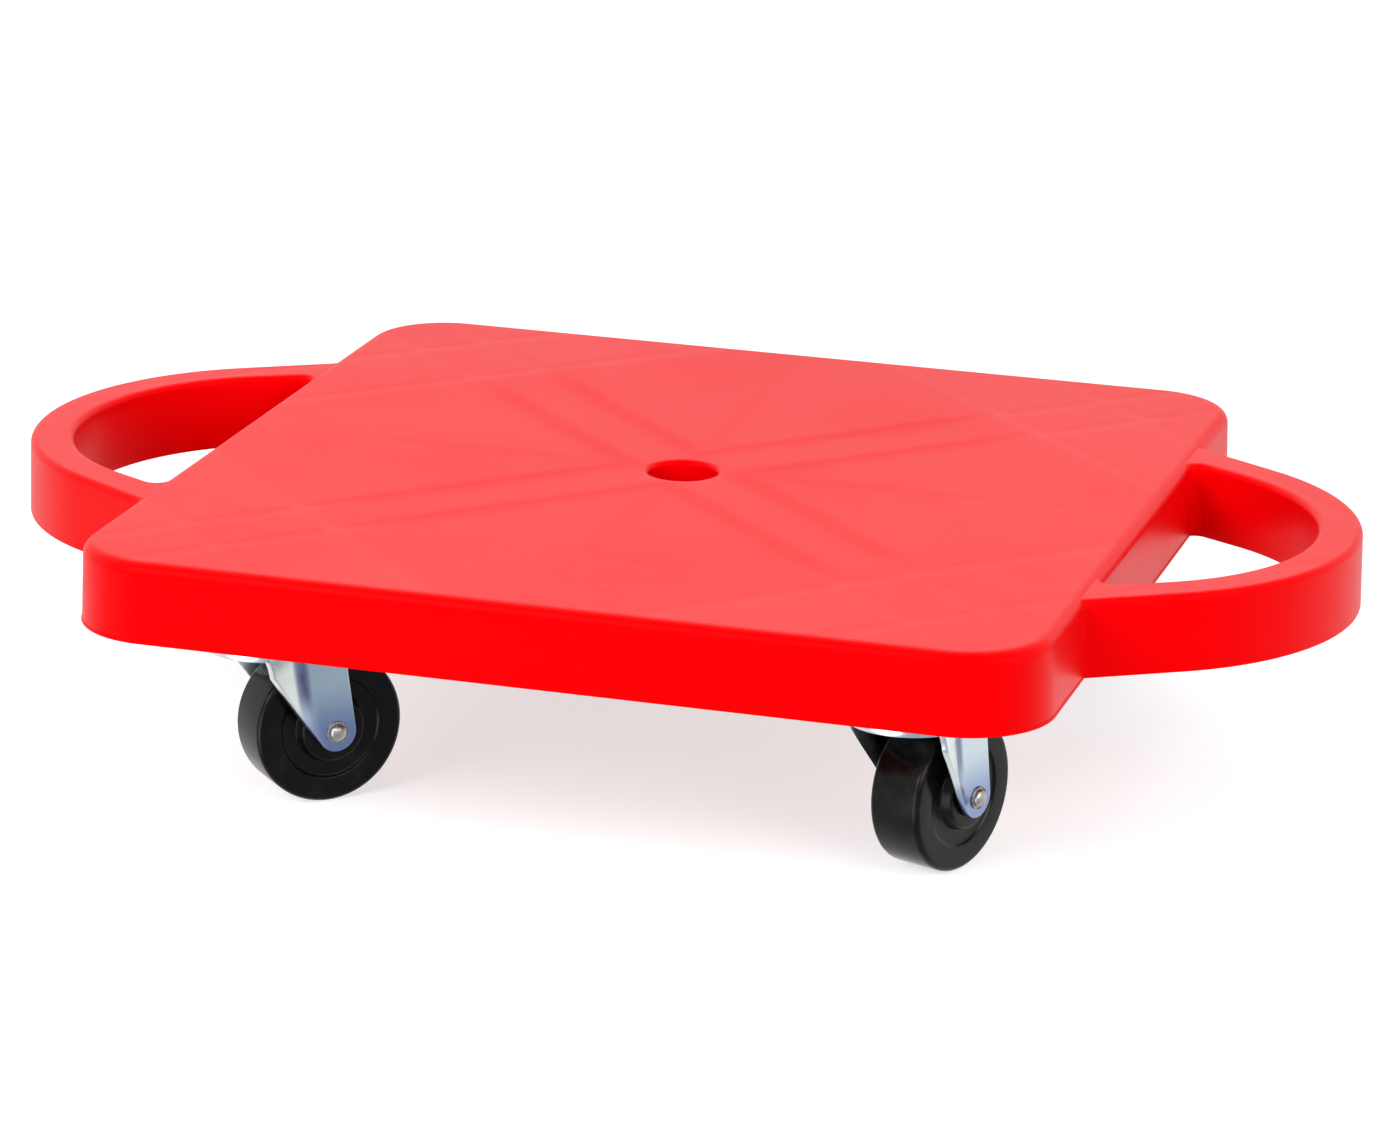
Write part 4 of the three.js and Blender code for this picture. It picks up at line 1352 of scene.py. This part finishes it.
    def build_screws(self) -> None:
        """Hands over the four pan-head screws, each with a cross recess sunk in its head.

        The head is a flattened dome over its rim. The recess is deepest in the middle and dies out
        along four arms.
        """
        seat = self.plate_low - self.gap
        core, arm, deep, full = self.recess
        steps = self.screw_steps
        radius = self.screw_head * np.array(self.screw_shares)[:, None]
        share = radius / (self.screw_head + self.screw_flat)
        dome = self.screw_dome * np.sqrt(1 - share ** self.dome_power)
        arms = np.abs(rays(around(steps))).max(axis=1) ** self.arm_power
        depth = deep * np.clip(full - radius / (core + arm * arms), 0, 1)
        head = spun(radius, seat - self.screw_rim - dome + depth, steps)
        shank = np.array(self.shank) + [0, seat]
        rows = np.concatenate([head[::-1], spun(shank[:, :1], shank[:, 1:], steps)])
        for number, place in enumerate(self.screw_places(), start=1):
            skin = Skin()
            skin.grid(moved(rows, Matrix.Translation((*place, 0))))
            mesh = skin.mesh(f"{self.name}_pan_screw_{number}", sharp=35)
            self.hand(f"pan_screw_{number}", mesh, Stock.ZINC, f"screw_{number}")

    # The plate

    def build_plate(self) -> None:
        """Hands over the mounting plate: a rounded rectangle with four slots and a hole."""
        length, _, thick = self.plate
        name = self.name + "_plate"
        half = np.array(self.plate[:2]) / 2 - self.plate_corner
        corner_steps, hole_steps = self.plate_steps
        arc = rays(along(0, QUARTER, corner_steps)) * self.plate_corner
        outline = np.concatenate([(arc + np.roll(half, quarter)) @ turn(quarter * QUARTER)
                                  for quarter in range(4)])
        circle = rays(around(hole_steps))
        radius, stretch = self.slot
        slot = radius * circle + np.stack([stretch * np.sign(circle[:, 0]), 0 * circle[:, 0]], axis=1)
        loops = [outline * (1 - 2 * self.plate_edge / length),
                 *(slot + corner for corner in CORNERS * self.screws / 2), self.plate_hole * circle]
        curve = bpy.data.curves.new(name, "CURVE")
        curve.dimensions = "2D"
        curve.fill_mode = "BOTH"
        curve.extrude = (thick / 2 - self.plate_edge) * MM
        curve.bevel_depth = self.plate_edge * MM
        curve.bevel_resolution = 2
        for loop in loops:
            spline = curve.splines.new("POLY")
            spline.points.add(len(loop) - 1)
            flat = np.column_stack([loop * MM, np.zeros(len(loop)), np.ones(len(loop))])
            spline.points.foreach_set("co", flat.ravel())
            spline.use_cyclic_u = True
        made = new_object(name, curve)
        bpy.context.view_layer.update()
        mesh = bpy.data.meshes.new_from_object(made.evaluated_get(bpy.context.evaluated_depsgraph_get()))
        bpy.data.objects.remove(made)
        bpy.data.curves.remove(curve)
        place = self.fixed() @ Matrix.Translation((0, 0, self.plate_low + thick / 2))
        place.translation *= MM
        mesh.transform(place)
        mesh.name = name
        self.hand("plate", settle(mesh, sharp=35), Stock.ZINC, "mounting_plate")

    def build(self) -> None:
        """Hands over every piece of the caster."""
        self.build_plate()
        self.build_kingpin()
        self.build_race()
        self.build_balls()
        self.build_screws()
        self.build_fork()
        self.build_axle()
        self.build_sleeve()
        self.build_wheel()


def build_deck(shop: Workshop, casters: list[Caster]) -> None:
    """Hands over the deck as one piece.

    Args:
        shop: what dresses it.
        casters: the casters, whose screws need bosses.
    """
    deck = Deck()
    skin = Skin()
    skin.grid(deck.shell_rows(), round_rows=True)
    deck.ribs(skin)
    for caster in casters:
        deck.bosses(skin, caster.screw_places())
    for side in (1, -1):
        HandLoop(deck).build(skin, side)
    shop.finish("deck_moulding", skin.mesh("deck_moulding", sharp=38), Stock.RED, DECK_BODY, "deck")


# The studio


@dataclass
class Studio:
    """Camera, lamps, floor and backdrop. Angles in degrees, lengths in millimetres.

    Each glow is a direction, the cosines of the angles at its edge and its core, and its strength.
    Each lamp is a name, a place and the length of its side in metres, and its power in watts.
    The backdrop is how far it leans to the side, and where its front ends and its white begins.
    """

    azimuth: float = 16.564
    elevation: float = 17.528
    roll: float = 1.037
    distance: float = 1668.38
    across: float = 5.634
    rise: float = -20.317
    aim: float = 75.8585
    focal_pixels: float = 5293.37
    image_width: float = 1400
    sensor: float = 36
    floor_half: float = 6000
    floor_grey: Colour = (0.55, 0.55, 0.55)
    floor_roughness: float = 0.8
    floor_glow: float = 0.64
    white: Colour = (1.0, 1.0, 1.0)
    front: Colour = (0.39, 0.44, 0.52)
    light: float = 0.6
    backdrop: Spot = (-0.35, -0.75, 0.35)
    glows: tuple[tuple[Spot, float, float, float], ...] = (
        ((-0.40, -0.90, -0.18), 0.86, 0.97, 6), ((0.43, -0.81, 0.39), 0.985, 0.994, 26),
    )
    lamps: tuple[tuple[str, Spot, float, float], ...] = (
        ("key", (-0.9, -1.7, 1.3), 1.1, 38), ("fill", (1.6, -0.9, 0.9), 1.2, 22),
        ("back", (-0.5, 1.4, 1.9), 1.5, 11),
    )
    lamp_aim: Spot = (0, 0, 0.07)

    def camera(self) -> None:
        """Sets the camera where the photograph was taken from."""
        a, e, r = (math.radians(value) for value in (self.azimuth, self.elevation, self.roll))
        back = np.array([math.sin(a) * math.cos(e), -math.cos(a) * math.cos(e), math.sin(e)])
        level_right = np.array([math.cos(a), math.sin(a), 0])
        level_up = np.cross(back, level_right)
        right = level_right * math.cos(r) + level_up * math.sin(r)
        up = level_up * math.cos(r) - level_right * math.sin(r)
        spot = np.array([0, 0, self.aim]) + back * self.distance + right * self.across + up * self.rise
        data = bpy.data.cameras.new("camera")
        data.sensor_width = self.sensor
        data.sensor_fit = "HORIZONTAL"
        data.lens = self.focal_pixels / self.image_width * self.sensor
        data.clip_end = 50
        eye = new_object("camera", data)
        rows = np.column_stack([right, up, back, spot * MM]).tolist()
        eye.matrix_world = Matrix([*rows, [0, 0, 0, 1]])
        bpy.context.scene.camera = eye

    def lamp(self, name: str, place: Spot, size: float, power: float) -> None:
        """Adds a square lamp that faces the board.

        Args:
            name: its name.
            place: where it hangs, in metres.
            size: the length of its side, in metres.
            power: its power in watts.
        """
        data = bpy.data.lights.new(name, "AREA")
        data.shape = "SQUARE"
        data.size = size
        data.energy = power
        lamp = new_object(name, data)
        lamp.location = place
        aim = Vector(self.lamp_aim) - lamp.location
        lamp.rotation_mode = "QUATERNION"
        lamp.rotation_quaternion = aim.to_track_quat("-Z", "Y")

    def floor(self) -> None:
        """Lays a pale floor that shows white to the camera and keeps a soft shadow.

        Reflections look through it into the room, and from below it is clear.
        """
        skin = Skin()
        side = along(-self.floor_half, self.floor_half, 2)
        x, y = np.meshgrid(side, side, indexing="ij")
        skin.grid(np.stack([x, y, np.zeros_like(x)], axis=-1), round_columns=False)
        mesh = face_up(skin.mesh("floor", sharp=30))
        coat = Coat("floor", self.floor_grey, self.floor_roughness, Emission_Color=rgba(self.white))
        path = coat.add("LightPath").outputs
        coat.feed("Emission Strength", coat.times(path["Is Camera Ray"], self.floor_glow))
        clear = coat.most(path["Is Glossy Ray"], coat.add("NewGeometry").outputs["Backfacing"])
        coat.feed("Alpha", coat.math("SUBTRACT", 1.0, clear))
        mesh.materials.append(coat.material)
        new_object("floor", mesh)

    def world(self) -> None:
        """Lights the scene softly from all round, and shows white behind the board.

        In reflections the room is white behind the board, and dimmer and bluer in front of it, with
        the glow of a wide window low on the left and of a small lamp high in front.
        """
        world = bpy.data.worlds.new("studio")
        world.use_nodes = True
        nodes = Nodes(world.node_tree)
        shader = world.node_tree.nodes["Background"]
        heading = nodes.add("TexCoord").outputs["Generated"]
        part = nodes.split(heading)
        lean, start, end = self.backdrop
        behind = nodes.math("MULTIPLY_ADD", part[0], lean, part[1])
        room = nodes.mix(nodes.ramp(behind, start, end), self.front, self.white)
        path = nodes.add("LightPath").outputs
        glossy = path["Is Glossy Ray"]
        direct = nodes.most(path["Is Camera Ray"], glossy)
        strength = nodes.math("MULTIPLY_ADD", direct, 1 - self.light, self.light)
        for middle, edge, core, glow in self.glows:
            dot = nodes.add("VectorMath", {0: heading, 1: middle}, operation="DOT_PRODUCT")
            bright = nodes.times(nodes.ramp(dot.outputs["Value"], edge, core, 0, glow), glossy)
            strength = nodes.math("ADD", strength, bright)
        nodes.tree.links.new(nodes.mix(glossy, self.white, room), shader.inputs["Color"])
        nodes.tree.links.new(strength, shader.inputs["Strength"])
        bpy.context.scene.world = world

    def build(self) -> None:
        """Sets up the whole studio."""
        self.camera()
        self.world()
        self.floor()
        for lamp in self.lamps:
            self.lamp(*lamp)


def main() -> None:
    """Builds the studio and the board."""
    logging.basicConfig(level=logging.INFO, format="%(message)s")
    Studio().build()
    bpy.context.scene.view_settings.view_transform = "Standard"
    shop = Workshop(make_stock())
    casters = [
        Caster("front_left", -SWIVEL_X, -SWIVEL_Y, 44.6, shop),
        Caster("front_right", SWIVEL_X, -SWIVEL_Y, 68.8, shop),
        Caster("rear_left", -SWIVEL_X, SWIVEL_Y, 62, shop),
        Caster("rear_right", SWIVEL_X, SWIVEL_Y, 74, shop),
    ]
    build_deck(shop, casters)
    for caster in casters:
        caster.build()


if __name__ == "__main__":
    main()
